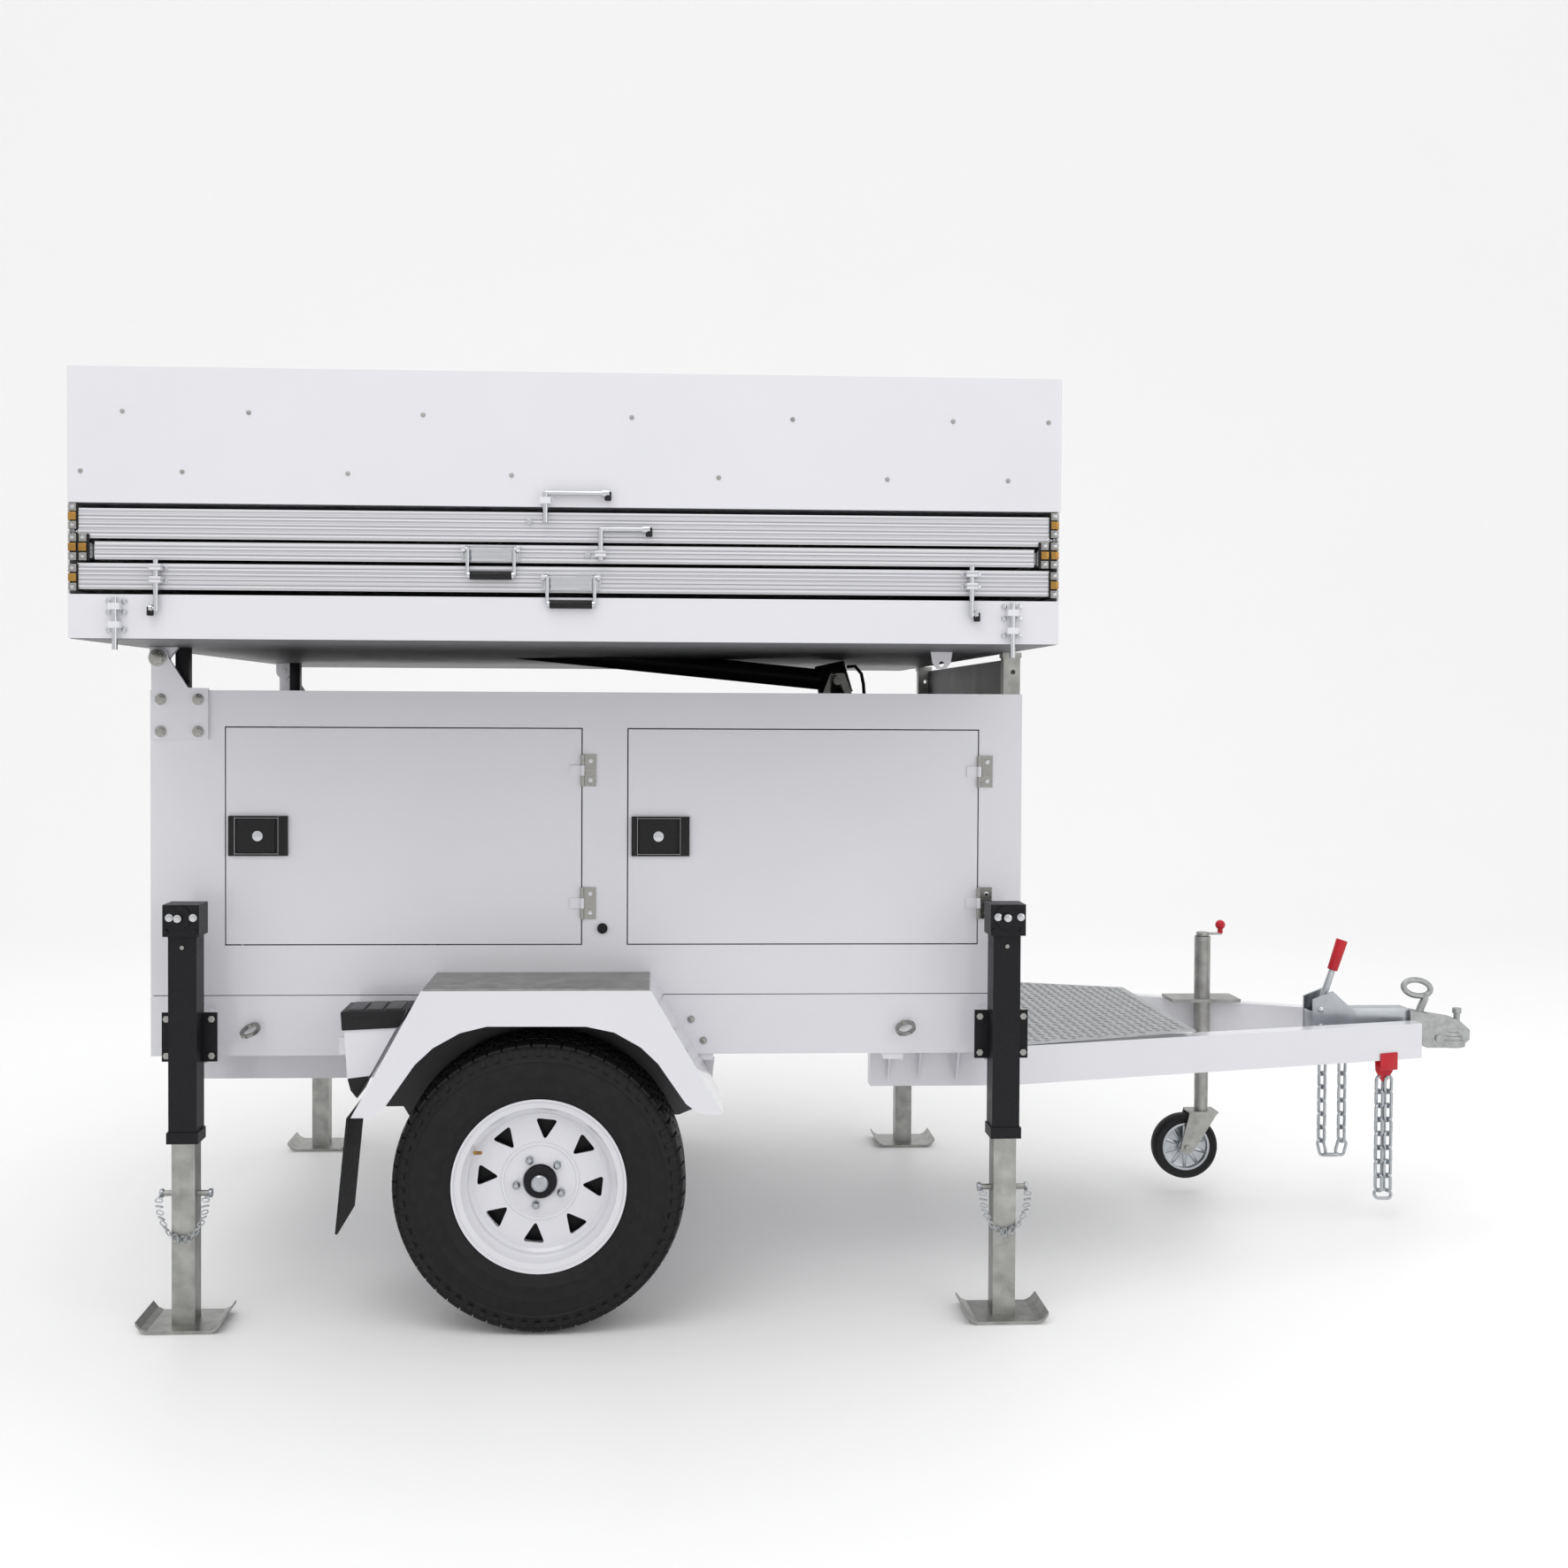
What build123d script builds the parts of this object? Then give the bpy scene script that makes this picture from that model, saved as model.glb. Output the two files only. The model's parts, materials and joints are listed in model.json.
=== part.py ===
"""Arrow board trailer with a folded display stack, four corner jacks and a jockey wheel.

Millimetres, +Z up, +X towards the coupling, -Y is the door side ("near").
Every section is drawn with X measured from the road axle. save() moves it so that the
origin lies under the middle of the whole trailer, on the ground.
"""
from build123d import *
import math
import os

# ---------------------------------------------------------------- driving dimensions
REAR_X, FRONT_X = -1006.5, 2690.0          # whole trailer, from the axle
MID_X = (REAR_X + FRONT_X) / 2

BODY_REAR, BODY_FRONT = -970.0, 1195.0     # equipment body
BODY_HALF = 705.0
BODY_BOTTOM, SEAM_Z, BODY_TOP = 620.0, 771.0, 1525.0
SHEET = 5.0
SEAM_GAP = 2.0

DOOR_BOTTOM, DOOR_TOP = 894.0, 1436.0
REAR_DOOR = (-789.0, 91.5)
FRONT_DOOR = (202.5, 1086.5)
DOOR_GAP = 3.0
DOOR_THICK = 20.0
HINGE_AXIS_OUT = 5.5                       # door hinge axis outside the body face
HINGE_LEVELS = (999.0, 1330.0)
HINGE_HEIGHT = 79.0
LATCH_Z = (1117.0, 1215.0)
LATCH_WIDTH = 144.0

BOARD_HALF = 1186.0                        # display stack, across the trailer
CABINET_X = (-1006.5, 1174.0)
CABINET_Z = (1926.0, 2221.0)
TRAY_X = (-1004.5, 1169.0)
TRAY_Z = (1631.0, 1727.0)
END_WALL = 4.0
PANELS = {                                 # name: (x0, x1, z0, z1)
    "upper_panel": (-984.0, 1148.5, 1849.0, 1914.0),
    "middle_panel": (-948.0, 1113.5, 1803.0, 1842.0),
    "lower_panel": (-985.0, 1148.0, 1738.0, 1795.0),
}
PANEL_HALF = 1182.0
SLIDE_BAR = 4.4                            # thickness of one slide member
SLIDE_GAP = 0.5
BOLT_R, BOLT_OUT = 6.0, 14.0               # spring bolts, and how far they stand out

PIVOT_X, PIVOT_Z = -948.0, 1604.0          # display tilt axis
PIVOT_PIN = 20.0
EAR_RADIUS = 24.0

LIFT_BASE = (800.0, 1569.0)                # cylinder foot on the roof (x, z)
LIFT_HEAD = (-342.0, 1679.0)               # rod eye in the tray at rest (x, z)
RAM_BAY = (-650.0, 600.0, 62.0)            # bay in the tray: x0, x1, half width

TYRE_R, TYRE_WIDTH, TYRE_Y = 350.0, 228.0, 836.0
RIM_R, RIM_WIDTH = 207.0, 178.0
STUD_CIRCLE, STUDS = 114.3, 5
STUB_R = 20.0

GUARD_OUT, GUARD_IN = 970.0, 705.0         # mudguard, across
GUARD_TOP, GUARD_TIP = 823.0, 527.0
GUARD_SHEET = 3.0

LOOP_TILT = (-0.31, -0.42, 0.852)          # axis of the tie-down loops

JACK_X = (-850.0, 1128.0)
JACK_TUBE, JACK_WALL, JACK_LEG = 67.0, 4.0, 55.0
JACK_FACE = 862.0                          # outer face of the jack tube
JACK_HEAD_Z = (938.0, 1014.0)
JACK_BOTTOM = 442.0
PIN_Z = 315.0
POST_HALF, PAD_TOP = 38.0, 740.0           # bracket behind each jack

BEAM_HALF, BEAM_WIDTH, BEAM_HEIGHT = 553.0, 50.0, 101.5
BEAM_REAR, BEAM_BEND, BEAM_FRONT = 836.0, 1200.0, 2516.0
BEAM_TOP, BEAM_DROP = 604.0, 0.0211        # top at the bend, fall per mm forward
BEAM_TAPER = 0.344
RAIL_BOTTOM = 531.0

LEAF_Y, HANGER_X = (602.0, 658.0), (-420.0, 370.0)
EYE_X, SAG = 395.0, 130.0                  # leaf spring eyes, and rise at the ends

JOCKEY_X, JOCKEY_Y = 1962.0, 200.0
JOCKEY_WHEEL_R, JOCKEY_TRAIL, JOCKEY_HUB_Z = 100.0, 52.0, 146.0
JOCKEY_TUBE_Z = (390.0, 793.0)

COUPLING_X = 2216.0                        # rear edge of the coupling bracket
CHAIN_SPOTS = ((2400.0, -110.0), (2345.0, 138.0))

HANDLES = {                                # name: (x0, x1, hinge z, grip z)
    "middle_handle": (-150.0, -30.0, 1832.0, 1774.0),
    "lower_handle": (24.0, 146.0, 1772.0, 1712.0),
}

parts = {}


# ---------------------------------------------------------------- shape helpers
def box(x0, x1, y0, y1, z0, z1):
    corner = Plane(origin=(min(x0, x1), min(y0, y1), min(z0, z1)))
    return Solid.make_box(abs(x1 - x0), abs(y1 - y0), abs(z1 - z0), corner)


def rod(start, end, radius):
    """Round bar between two points."""
    a, b = Vector(*start), Vector(*end)
    return Solid.make_cylinder(radius, (b - a).length, Plane(origin=a, z_dir=b - a))


def ring(start, end, outer, inner):
    return rod(start, end, outer) - rod(start, end, inner)


def plate_xz(points, y0, y1):
    """Flat plate whose outline lies in the XZ plane."""
    low, high = min(y0, y1), max(y0, y1)
    wire = Wire.make_polygon([Vector(x, low, z) for x, z in points], close=True)
    return Solid.extrude(Face(wire), Vector(0, high - low, 0))


def plate_xy(points, z0, z1):
    wire = Wire.make_polygon([Vector(x, y, z0) for x, y in points], close=True)
    return Solid.extrude(Face(wire), Vector(0, 0, z1 - z0))


def swept_beam(x0, x1, y0, y1, z0, z1, width, height):
    """Straight beam with upright ends; y and z are the outer top edge at each end."""
    inward = -math.copysign(width, y0)
    sections = []
    for x, y, z in ((x0, y0, z0), (x1, y1, z1)):
        ends = [(x, y, z), (x, y + inward, z), (x, y + inward, z - height), (x, y, z - height)]
        sections.append(Wire.make_polygon([Vector(*p) for p in ends], close=True))
    return Solid.make_loft(sections, True)


def other_side(shape):
    return shape.mirror(Plane.XZ)


def both_sides(shapes):
    return [s for shape in shapes for s in (shape, other_side(shape))]


def hex_bolt(x, y, z, across, height, side=-1):
    """Hexagon head standing out from a face in Y."""
    r = across / math.sqrt(3)
    outline = [(x + r * math.cos(math.radians(60 * i)), z + r * math.sin(math.radians(60 * i)))
               for i in range(6)]
    return plate_xz(outline, y, y + side * height)


def save(name, shapes):
    shapes = shapes if isinstance(shapes, list) else [shapes]
    solids = [s.moved(Location((-MID_X, 0, 0))) for shape in shapes for s in shape.solids()]
    parts[name] = solids[0] if len(solids) == 1 else Compound(children=solids)


# ---------------------------------------------------------------- chassis
def beam_half(x):
    return BEAM_HALF - BEAM_TAPER * (x - BEAM_BEND)


def beam_top(x):
    return BEAM_TOP - BEAM_DROP * (x - BEAM_BEND)


def make_chassis():
    frame = both_sides([box(-900, 420, -BEAM_HALF, -BEAM_HALF + BEAM_WIDTH, RAIL_BOTTOM, BEAM_TOP)])
    for x in (-900, HANGER_X[0], HANGER_X[1], 850, 1140):
        frame.append(box(x, x + 50, -700, 700, BEAM_TOP, BODY_BOTTOM))
    for x in HANGER_X:                     # spring hanger plates under the floor bars
        for y in (LEAF_Y[0] - 10, LEAF_Y[1] + 4):
            frame += both_sides([plate_xz([(x - 5, BEAM_TOP), (x + 55, BEAM_TOP), (x + 45, 508),
                                           (x + 5, 508)], -y, -y - 6)])
    brackets = []
    for x in JACK_X:                       # jack brackets on the side of the tub
        brackets.append(box(x - POST_HALF, x + POST_HALF, -BODY_HALF, -JACK_FACE + JACK_TUBE,
                            BODY_BOTTOM, PAD_TOP))
        for a, b in ((x - 64, x - POST_HALF), (x + POST_HALF, x + 64)):
            brackets.append(box(a, b, -791, -JACK_FACE + JACK_TUBE, 630, PAD_TOP))
    save("chassis_frame", frame + both_sides(brackets))

    rear = box(BEAM_REAR, BEAM_BEND, -BEAM_HALF, -BEAM_HALF + BEAM_WIDTH,
               BEAM_TOP - BEAM_HEIGHT, BEAM_TOP)
    near = rear + swept_beam(BEAM_BEND, BEAM_FRONT, -BEAM_HALF, -beam_half(BEAM_FRONT),
                             BEAM_TOP, beam_top(BEAM_FRONT), BEAM_WIDTH, BEAM_HEIGHT)
    web_y = -BEAM_HALF
    for x in (880, 960, 1060):             # gussets on the outer web
        outline = [Vector(x, web_y, BEAM_TOP), Vector(x, web_y - 40, BEAM_TOP),
                   Vector(x, web_y, BEAM_TOP - 88)]
        near = near + Solid.extrude(Face(Wire.make_polygon(outline, close=True)), Vector(5, 0, 0))
    near = near + box(BEAM_REAR + 20, 1080, web_y, web_y - 45, BEAM_TOP - 3, BEAM_TOP)
    save("drawbar_beams", both_sides([near]))

    x0, x1 = BODY_FRONT + 2, 1760
    low = BEAM_TOP + 0.5
    outline = [(x0, -beam_half(x0)), (x1, -beam_half(x1)), (x1, beam_half(x1)),
               (x0, beam_half(x0))]
    save("deck_plate", plate_xy(outline, low, low + 4.5))


def make_body():
    x0, x1, y = BODY_REAR, BODY_FRONT, BODY_HALF
    tub = box(x0, x1, -y, y, BODY_BOTTOM, SEAM_Z - SEAM_GAP)
    tub = tub - box(x0 + SHEET, x1 - SHEET, -y + SHEET, y - SHEET, BODY_BOTTOM + SHEET, SEAM_Z)
    save("lower_tub", tub)

    near = box(x0, x1, -y, -y + SHEET, SEAM_Z, BODY_TOP - SHEET)
    for a, b in (REAR_DOOR, FRONT_DOOR):
        near = near - box(a, b, -y - 1, -y + SHEET + 1, DOOR_BOTTOM, DOOR_TOP)
    save("near_side_panel", near)
    walls = [box(x0, x1, y - SHEET, y, SEAM_Z, BODY_TOP - SHEET)]
    for x in (x0, x1 - SHEET):
        walls.append(box(x, x + SHEET, -y + SHEET, y - SHEET, SEAM_Z, BODY_TOP - SHEET))
    save("far_and_end_panels", walls)
    save("roof_panel", box(x0, x1, -y, y, BODY_TOP - SHEET, BODY_TOP))

    gear = []
    for column in range(4):
        for row in (-330, 90):
            x = -760 + column * 440
            gear.append(box(x, x + 330, row, row + 240, BODY_BOTTOM + SHEET, BODY_BOTTOM + 240))
    gear.append(box(-500, -200, y - SHEET - 90, y - SHEET, 1000, 1250))
    save("batteries_and_controller", gear)


def make_door(name, span, latch_x):
    """Flush door with its half of two hinges and the latch housing."""
    a, b = span[0] + DOOR_GAP, span[1] - DOOR_GAP
    y = -BODY_HALF
    leaf = box(a, b, y, y + DOOR_THICK, DOOR_BOTTOM + DOOR_GAP, DOOR_TOP - DOOR_GAP)
    axis_x = span[1]
    for z in HINGE_LEVELS:
        third = HINGE_HEIGHT / 3
        knuckle = rod((axis_x, y - HINGE_AXIS_OUT, z - third / 2 + 0.3),
                      (axis_x, y - HINGE_AXIS_OUT, z + third / 2 - 0.3), 5)
        tab = box(b - 28, axis_x - 1, y - 3.5, y, z - third / 2 + 0.3, z + third / 2 - 0.3)
        leaf = leaf + tab + knuckle
    housing = box(latch_x, latch_x + LATCH_WIDTH, y - 10, y, *LATCH_Z)
    housing = housing - box(latch_x + 15, latch_x + 121, y - 11, y - 3, LATCH_Z[0] + 5,
                            LATCH_Z[1] - 5)
    save(name, [leaf, housing])
    paddle = box(latch_x + 20, latch_x + 111, y - 9, y - 5, LATCH_Z[0] + 8, LATCH_Z[1] - 8)
    paddle = paddle + rod((latch_x + 111, y - 7, LATCH_Z[0] + 8),
                          (latch_x + 111, y - 7, LATCH_Z[1] - 8), 3)
    save(name + "_paddle", paddle)


def make_body_fittings():
    y = -BODY_HALF
    hinges = []
    for axis_x in (REAR_DOOR[1], FRONT_DOOR[1]):
        for z in HINGE_LEVELS:
            third = HINGE_HEIGHT / 3
            plate = box(axis_x + 2, axis_x + 34, y - 3.5, y, z - HINGE_HEIGHT / 2,
                        z + HINGE_HEIGHT / 2)
            plate = plate - box(axis_x - 8, axis_x + 8, y - 12, y - 0.5, z - third / 2 - 0.3,
                                z + third / 2 + 0.3)
            for low in (z - HINGE_HEIGHT / 2, z + third / 2 + 0.3):
                plate = plate + rod((axis_x, y - HINGE_AXIS_OUT, low),
                                    (axis_x, y - HINGE_AXIS_OUT, low + third - 0.3), 5)
            hinges.append(plate)
    fittings = hinges
    for x in (-721, 901):                  # tie-down loops
        centre, half = Vector(x, y - 27, 688), Vector(*LOOP_TILT) * 4
        eye = (x - 3, y, 697)
        loop = ring(tuple(centre - half), tuple(centre + half), 26, 18)
        fittings.append(loop + rod(eye, (x - 3, y - 9, 697), 6))
    fittings.append(rod((-417, y, 731), (-417, y - 4, 731), 24)
                    + rod((-417, y - 4, 731), (-417, y - 16, 731), 13))
    fittings.append(rod((142, y, 936), (142, y - 7, 936), 12))
    for x in JACK_X:                       # jack plate bolts
        for side in (-1, 1):
            for dx in (-54, 54):
                for z in (641, 730):
                    fittings.append(hex_bolt(x + dx, side * (JACK_FACE - JACK_TUBE + 6), z, 15, 6,
                                             side))
    save("body_fittings", fittings)

    posts = []
    for side in (-1, 1):
        rear_post = box(-918, -886, side * (BODY_HALF - 65), side * (BODY_HALF - 33), BODY_TOP,
                        TRAY_Z[0] - 0.5)
        front_post = box(1148, 1190, side * (BODY_HALF - 4), side * (BODY_HALF - 40), BODY_TOP,
                         TRAY_Z[0] - 14)
        front_post = front_post - rod((1172, side * BODY_HALF, 1581),
                                      (1172, side * (BODY_HALF - 60), 1581), 6)
        pad = box(1145, 1193, side * (BODY_HALF - 2), side * (BODY_HALF - 42), TRAY_Z[0] - 14,
                  TRAY_Z[0] - 0.5)
        posts += [rear_post, front_post, pad]

    inside = BODY_HALF - 40                # cross panel between the front posts
    posts.append(box(1184, 1189, -inside, inside, BODY_TOP, TRAY_Z[0] - 14))

    bx, bz = LIFT_BASE
    cheeks = []
    for side in (-1, 1):
        cheek = plate_xz([(bx - 45, BODY_TOP), (bx + 45, BODY_TOP), (bx + 20, bz + 22),
                          (bx - 20, bz + 22)], side * 36, side * 46)
        cheeks.append(cheek - rod((bx, -60, bz), (bx, 60, bz), 12))
    foot = box(bx - 55, bx + 55, -46, 46, BODY_TOP, BODY_TOP + 4)
    pin = rod((bx, -50, bz), (bx, 50, bz), 12)
    save("roof_brackets", posts + [cheeks[0] + cheeks[1] + foot, pin])

    brackets = []
    for side in (-1, 1):
        inner, outer = side * BODY_HALF, side * (BODY_HALF + 10)
        base = plate_xz([(-965, 1404), (-827, 1404), (-827, 1530), (-876, 1531),
                         (-911, 1585), (-928, PIVOT_Z + 8), (-965, PIVOT_Z - 10)], inner, outer)
        ear = rod((PIVOT_X, inner, PIVOT_Z), (PIVOT_X, outer, PIVOT_Z), EAR_RADIUS)
        bore = rod((PIVOT_X, inner - side * 2, PIVOT_Z), (PIVOT_X, outer + side * 2, PIVOT_Z),
                   PIVOT_PIN / 2)
        brackets.append(base + ear - bore)
        brackets.append(rod((PIVOT_X, side * (BODY_HALF - 21), PIVOT_Z),
                            (PIVOT_X, outer, PIVOT_Z), PIVOT_PIN / 2)
                        + rod((PIVOT_X, outer, PIVOT_Z), (PIVOT_X, outer + side * 4, PIVOT_Z), 21)
                        + hex_bolt(PIVOT_X, outer + side * 4, PIVOT_Z, 26, 10, side))
        for x in (-942, -851):
            for z in (1423, 1502):
                brackets.append(hex_bolt(x, outer, z, 18, 8, side))
    save("hinge_brackets", brackets)


def make_mudguards():
    t, top, tip = GUARD_SHEET, GUARD_TOP, GUARD_TIP
    outer = [(-434, tip), (-272, top), (264, top), (436, tip + 3)]
    hollow = [(-430 - 22, tip - 40), (-272 + 1.8 * t, top - t), (264 - 1.8 * t, top - t),
              (432 + 23, tip - 40)]
    shell = plate_xz(outer, -GUARD_OUT, -GUARD_IN)
    shell = shell - plate_xz(hollow, -GUARD_OUT + t, -GUARD_IN + 1)
    arch = [(-381, 500), (-381, 531), (-355, 552), (-286, 651), (-244, 690), (-181, 725),
            (-119, 740), (112, 739), (178, 725), (240, 690), (281, 651), (347, 556),
            (374, 535), (399, 531), (399, 500)]
    shell = shell - plate_xz(arch, -GUARD_OUT - 1, -GUARD_OUT + t + 1)
    step = box(-268, 260, -GUARD_OUT + 6, -GUARD_IN - 2, top, top + 3)
    save("mudguard_near", [shell, step])
    save("mudguard_far", [other_side(shell), other_side(step)])
    flap = plate_xz([(-440, tip - 3), (-446, tip - 3), (-472, 252), (-466, 252)],
                    -GUARD_OUT + 10, -GUARD_OUT + 240)
    save("mudflaps", both_sides([flap]))


def make_suspension():
    inner_end = TYRE_Y - 66
    axle = box(-25, 25, -inner_end, inner_end, TYRE_R - 25, TYRE_R + 25)
    for side in (-1, 1):
        axle = axle + rod((0, side * inner_end, TYRE_R), (0, side * (TYRE_Y + 48), TYRE_R), STUB_R)
    save("axle_beam", axle)
    z0 = TYRE_R + 25
    packs = []
    for leaf in range(4):
        half, low = 390 - leaf * 85, z0 + 7 * (3 - leaf)
        curve = [(half * i / 8, low + SAG * (half * i / 8 / 390) ** 2) for i in range(-8, 9)]
        upper = [(x, z + 6.5) for x, z in reversed(curve)]
        blade = plate_xz(curve + upper, -LEAF_Y[1], -LEAF_Y[0])
        if leaf == 0:
            for x in (-EYE_X, EYE_X):
                eye_z = z0 + 21 + SAG + 3
                blade = blade + rod((x, -LEAF_Y[1], eye_z), (x, -LEAF_Y[0], eye_z), 14)
        packs.append(blade)
    low_y, high_y = -LEAF_Y[1] - 3, -LEAF_Y[0] + 3
    packs.append(box(-34, 34, low_y, high_y, TYRE_R - 33, TYRE_R - 25))
    packs.append(box(-34, 34, low_y, high_y, z0 + 29, z0 + 36))
    save("leaf_springs", both_sides(packs))


def make_wheel(name, side):
    hub_y = side * TYRE_Y
    half = TYRE_WIDTH / 2
    section = [(RIM_R, -84), (RIM_R + 14, -92), (246, -106), (282, -half), (315, -106),
               (337, -90), (347, -60), (TYRE_R, 0), (347, 60), (337, 90), (315, 106),
               (282, half), (246, 106), (RIM_R + 14, 92), (RIM_R, 84)]
    wire = Wire.make_polygon([Vector(r, hub_y + w, TYRE_R) for r, w in section], close=True)
    centre_axis = Axis((0, 0, TYRE_R), (0, 1, 0))
    save("tyre_" + name, Solid.revolve(Face(wire), 360, centre_axis))

    edge = RIM_WIDTH / 2
    barrel = [(RIM_R, edge), (RIM_R, edge - 5), (RIM_R - 16, edge - 10), (RIM_R - 26, edge - 34),
              (RIM_R - 34, edge - 44), (RIM_R - 34, -edge + 44), (RIM_R - 26, -edge + 34),
              (RIM_R - 16, -edge + 10), (RIM_R, -edge + 5), (RIM_R, -edge),
              (RIM_R - 21, -edge + 5), (RIM_R - 31, -edge + 34), (RIM_R - 39, -edge + 46),
              (RIM_R - 39, edge - 46), (RIM_R - 31, edge - 34), (RIM_R - 21, edge - 5)]
    wire = Wire.make_polygon([Vector(r, hub_y + side * w, TYRE_R) for r, w in barrel], close=True)
    rim = Solid.revolve(Face(wire), 360, centre_axis)
    face_y = hub_y + side * 30
    disc = rod((0, face_y, TYRE_R), (0, face_y + side * 6, TYRE_R), RIM_R - 36)
    for i in range(8):
        a = math.radians(45 * i + 22.5)
        x, z = 128 * math.cos(a), TYRE_R + 128 * math.sin(a)
        disc = disc - rod((x, face_y - side * 5, z), (x, face_y + side * 12, z), 24)
    hub = rod((0, face_y, TYRE_R), (0, hub_y - side * 55, TYRE_R), 62)
    hub = hub - rod((0, face_y + side * 20, TYRE_R), (0, hub_y - side * 60, TYRE_R),
                    STUB_R + 0.05)
    wheel = rim + disc - rod((0, face_y - side, TYRE_R), (0, face_y + side * 20, TYRE_R), 36)
    cap = rod((0, face_y, TYRE_R), (0, face_y + side * 34, TYRE_R), 30)
    cap = cap - rod((0, face_y - side * 5, TYRE_R), (0, face_y + side * 29, TYRE_R), 24)
    nuts = []
    for i in range(STUDS):
        a = math.radians(72 * i + 100)
        x, z = STUD_CIRCLE / 2 * math.cos(a), TYRE_R + STUD_CIRCLE / 2 * math.sin(a)
        nuts.append(rod((x, face_y + side * 6, z), (x, face_y + side * 26, z), 10))
    save("rim_" + name, [wheel, hub, cap] + nuts)


def jack_frame(side):
    """Centre line and back face of one side's jack tubes."""
    return side * (JACK_FACE - JACK_TUBE / 2), side * (JACK_FACE - JACK_TUBE)


def jack_tube(x, side):
    """Outer tube with its crank head, cover, flange plate and collar."""
    centre, back = jack_frame(side)
    half = JACK_TUBE / 2
    inner = half - JACK_WALL
    tube = box(x - half, x + half, side * JACK_FACE, back, JACK_BOTTOM + 27, JACK_HEAD_Z[1])
    tube = tube + box(x - half - 4, x + half + 4, side * (JACK_FACE + 4), back, JACK_BOTTOM,
                      JACK_BOTTOM + 27)
    tube = tube + box(x - 43, x + 43, side * (JACK_FACE + 13), back, *JACK_HEAD_Z)
    tube = tube + box(x - 66, x + 66, back, back + side * 6, 626, 745)
    tube = tube - box(x - inner, x + inner, centre - inner, centre + inner, JACK_BOTTOM - 1, 1008)
    front = JACK_FACE + 13
    cover = rod((x - 4, side * front, 983), (x - 4, side * (front + 4), 983), 29)
    solids = [tube, cover, rod((x - 4, side * (front + 4), 983), (x - 4, side * (front + 14), 983), 9)]
    for dx in (-35, 33):
        solids.append(rod((x + dx, side * front, 951), (x + dx, side * (front + 6), 951), 5))
    return solids


def make_jack_leg(name, x, side):
    """Sliding leg with its foot and cross pin."""
    centre, _ = jack_frame(side)
    half = JACK_LEG / 2
    leg = box(x - half, x + half, centre - half, centre + half, 8, 860)
    leg = leg - box(x - half + 4, x + half - 4, centre - half + 4, centre + half - 4, 9, 861)
    curve = [(x - 100, 22), (x - 88, 7), (x - 74, 0), (x + 74, 0), (x + 88, 7), (x + 100, 22)]
    upper = [(px, pz + 8) for px, pz in reversed(curve)]
    foot = plate_xz(curve + upper, centre - 75, centre + 75)
    leg = leg + foot - rod((x - 70, centre, PIN_Z), (x + 70, centre, PIN_Z), 7)
    pin = rod((x - 58, centre, PIN_Z), (x + 58, centre, PIN_Z), 7)
    save("jack_leg_" + name, [leg, pin])


def make_jockey():
    x, y = JOCKEY_X, JOCKEY_Y
    low, high = JOCKEY_TUBE_Z
    tube = ring((x, y, low), (x, y, high), 24, 20.5)
    clamp_z = beam_top(x) + 6
    clamp = box(x - 104, x + 108, y - 40, y + 70, clamp_z, clamp_z + 10)
    clamp = clamp - rod((x, y, low), (x, y, high), 24)
    save("jockey_outer_tube", [tube, clamp])
    stem = rod((x, y, 256), (x, y, 650), 20.42)
    hub_x = x - JOCKEY_TRAIL
    fork = box(x - 44, x + 44, y - 34, y + 34, 250, 256)
    for side in (-1, 1):
        cheek = plate_xz([(x - 44, 256), (x + 44, 256), (hub_x + 22, JOCKEY_HUB_Z - 8),
                          (hub_x, JOCKEY_HUB_Z - 24), (hub_x - 22, JOCKEY_HUB_Z - 8)],
                         y + side * 30, y + side * 34)
        fork = fork + cheek
    fork = fork - rod((hub_x, y - 60, JOCKEY_HUB_Z), (hub_x, y + 60, JOCKEY_HUB_Z), 8)
    pin = rod((hub_x, y - 40, JOCKEY_HUB_Z), (hub_x, y + 40, JOCKEY_HUB_Z), 8)
    save("jockey_fork", [fork + stem, pin])
    save("jockey_wheel", ring((hub_x, y - 25, JOCKEY_HUB_Z), (hub_x, y + 25, JOCKEY_HUB_Z),
                              JOCKEY_WHEEL_R, 8.05))
    crank = rod((x, y, high + 0.5), (x, y, high + 12), 18)
    crank = crank + box(x, x + 60, y - 6, y + 6, high + 4, high + 10)
    save("jockey_crank", crank + rod((x + 55, y, high + 8), (x + 55, y, high + 50), 14))


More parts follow.
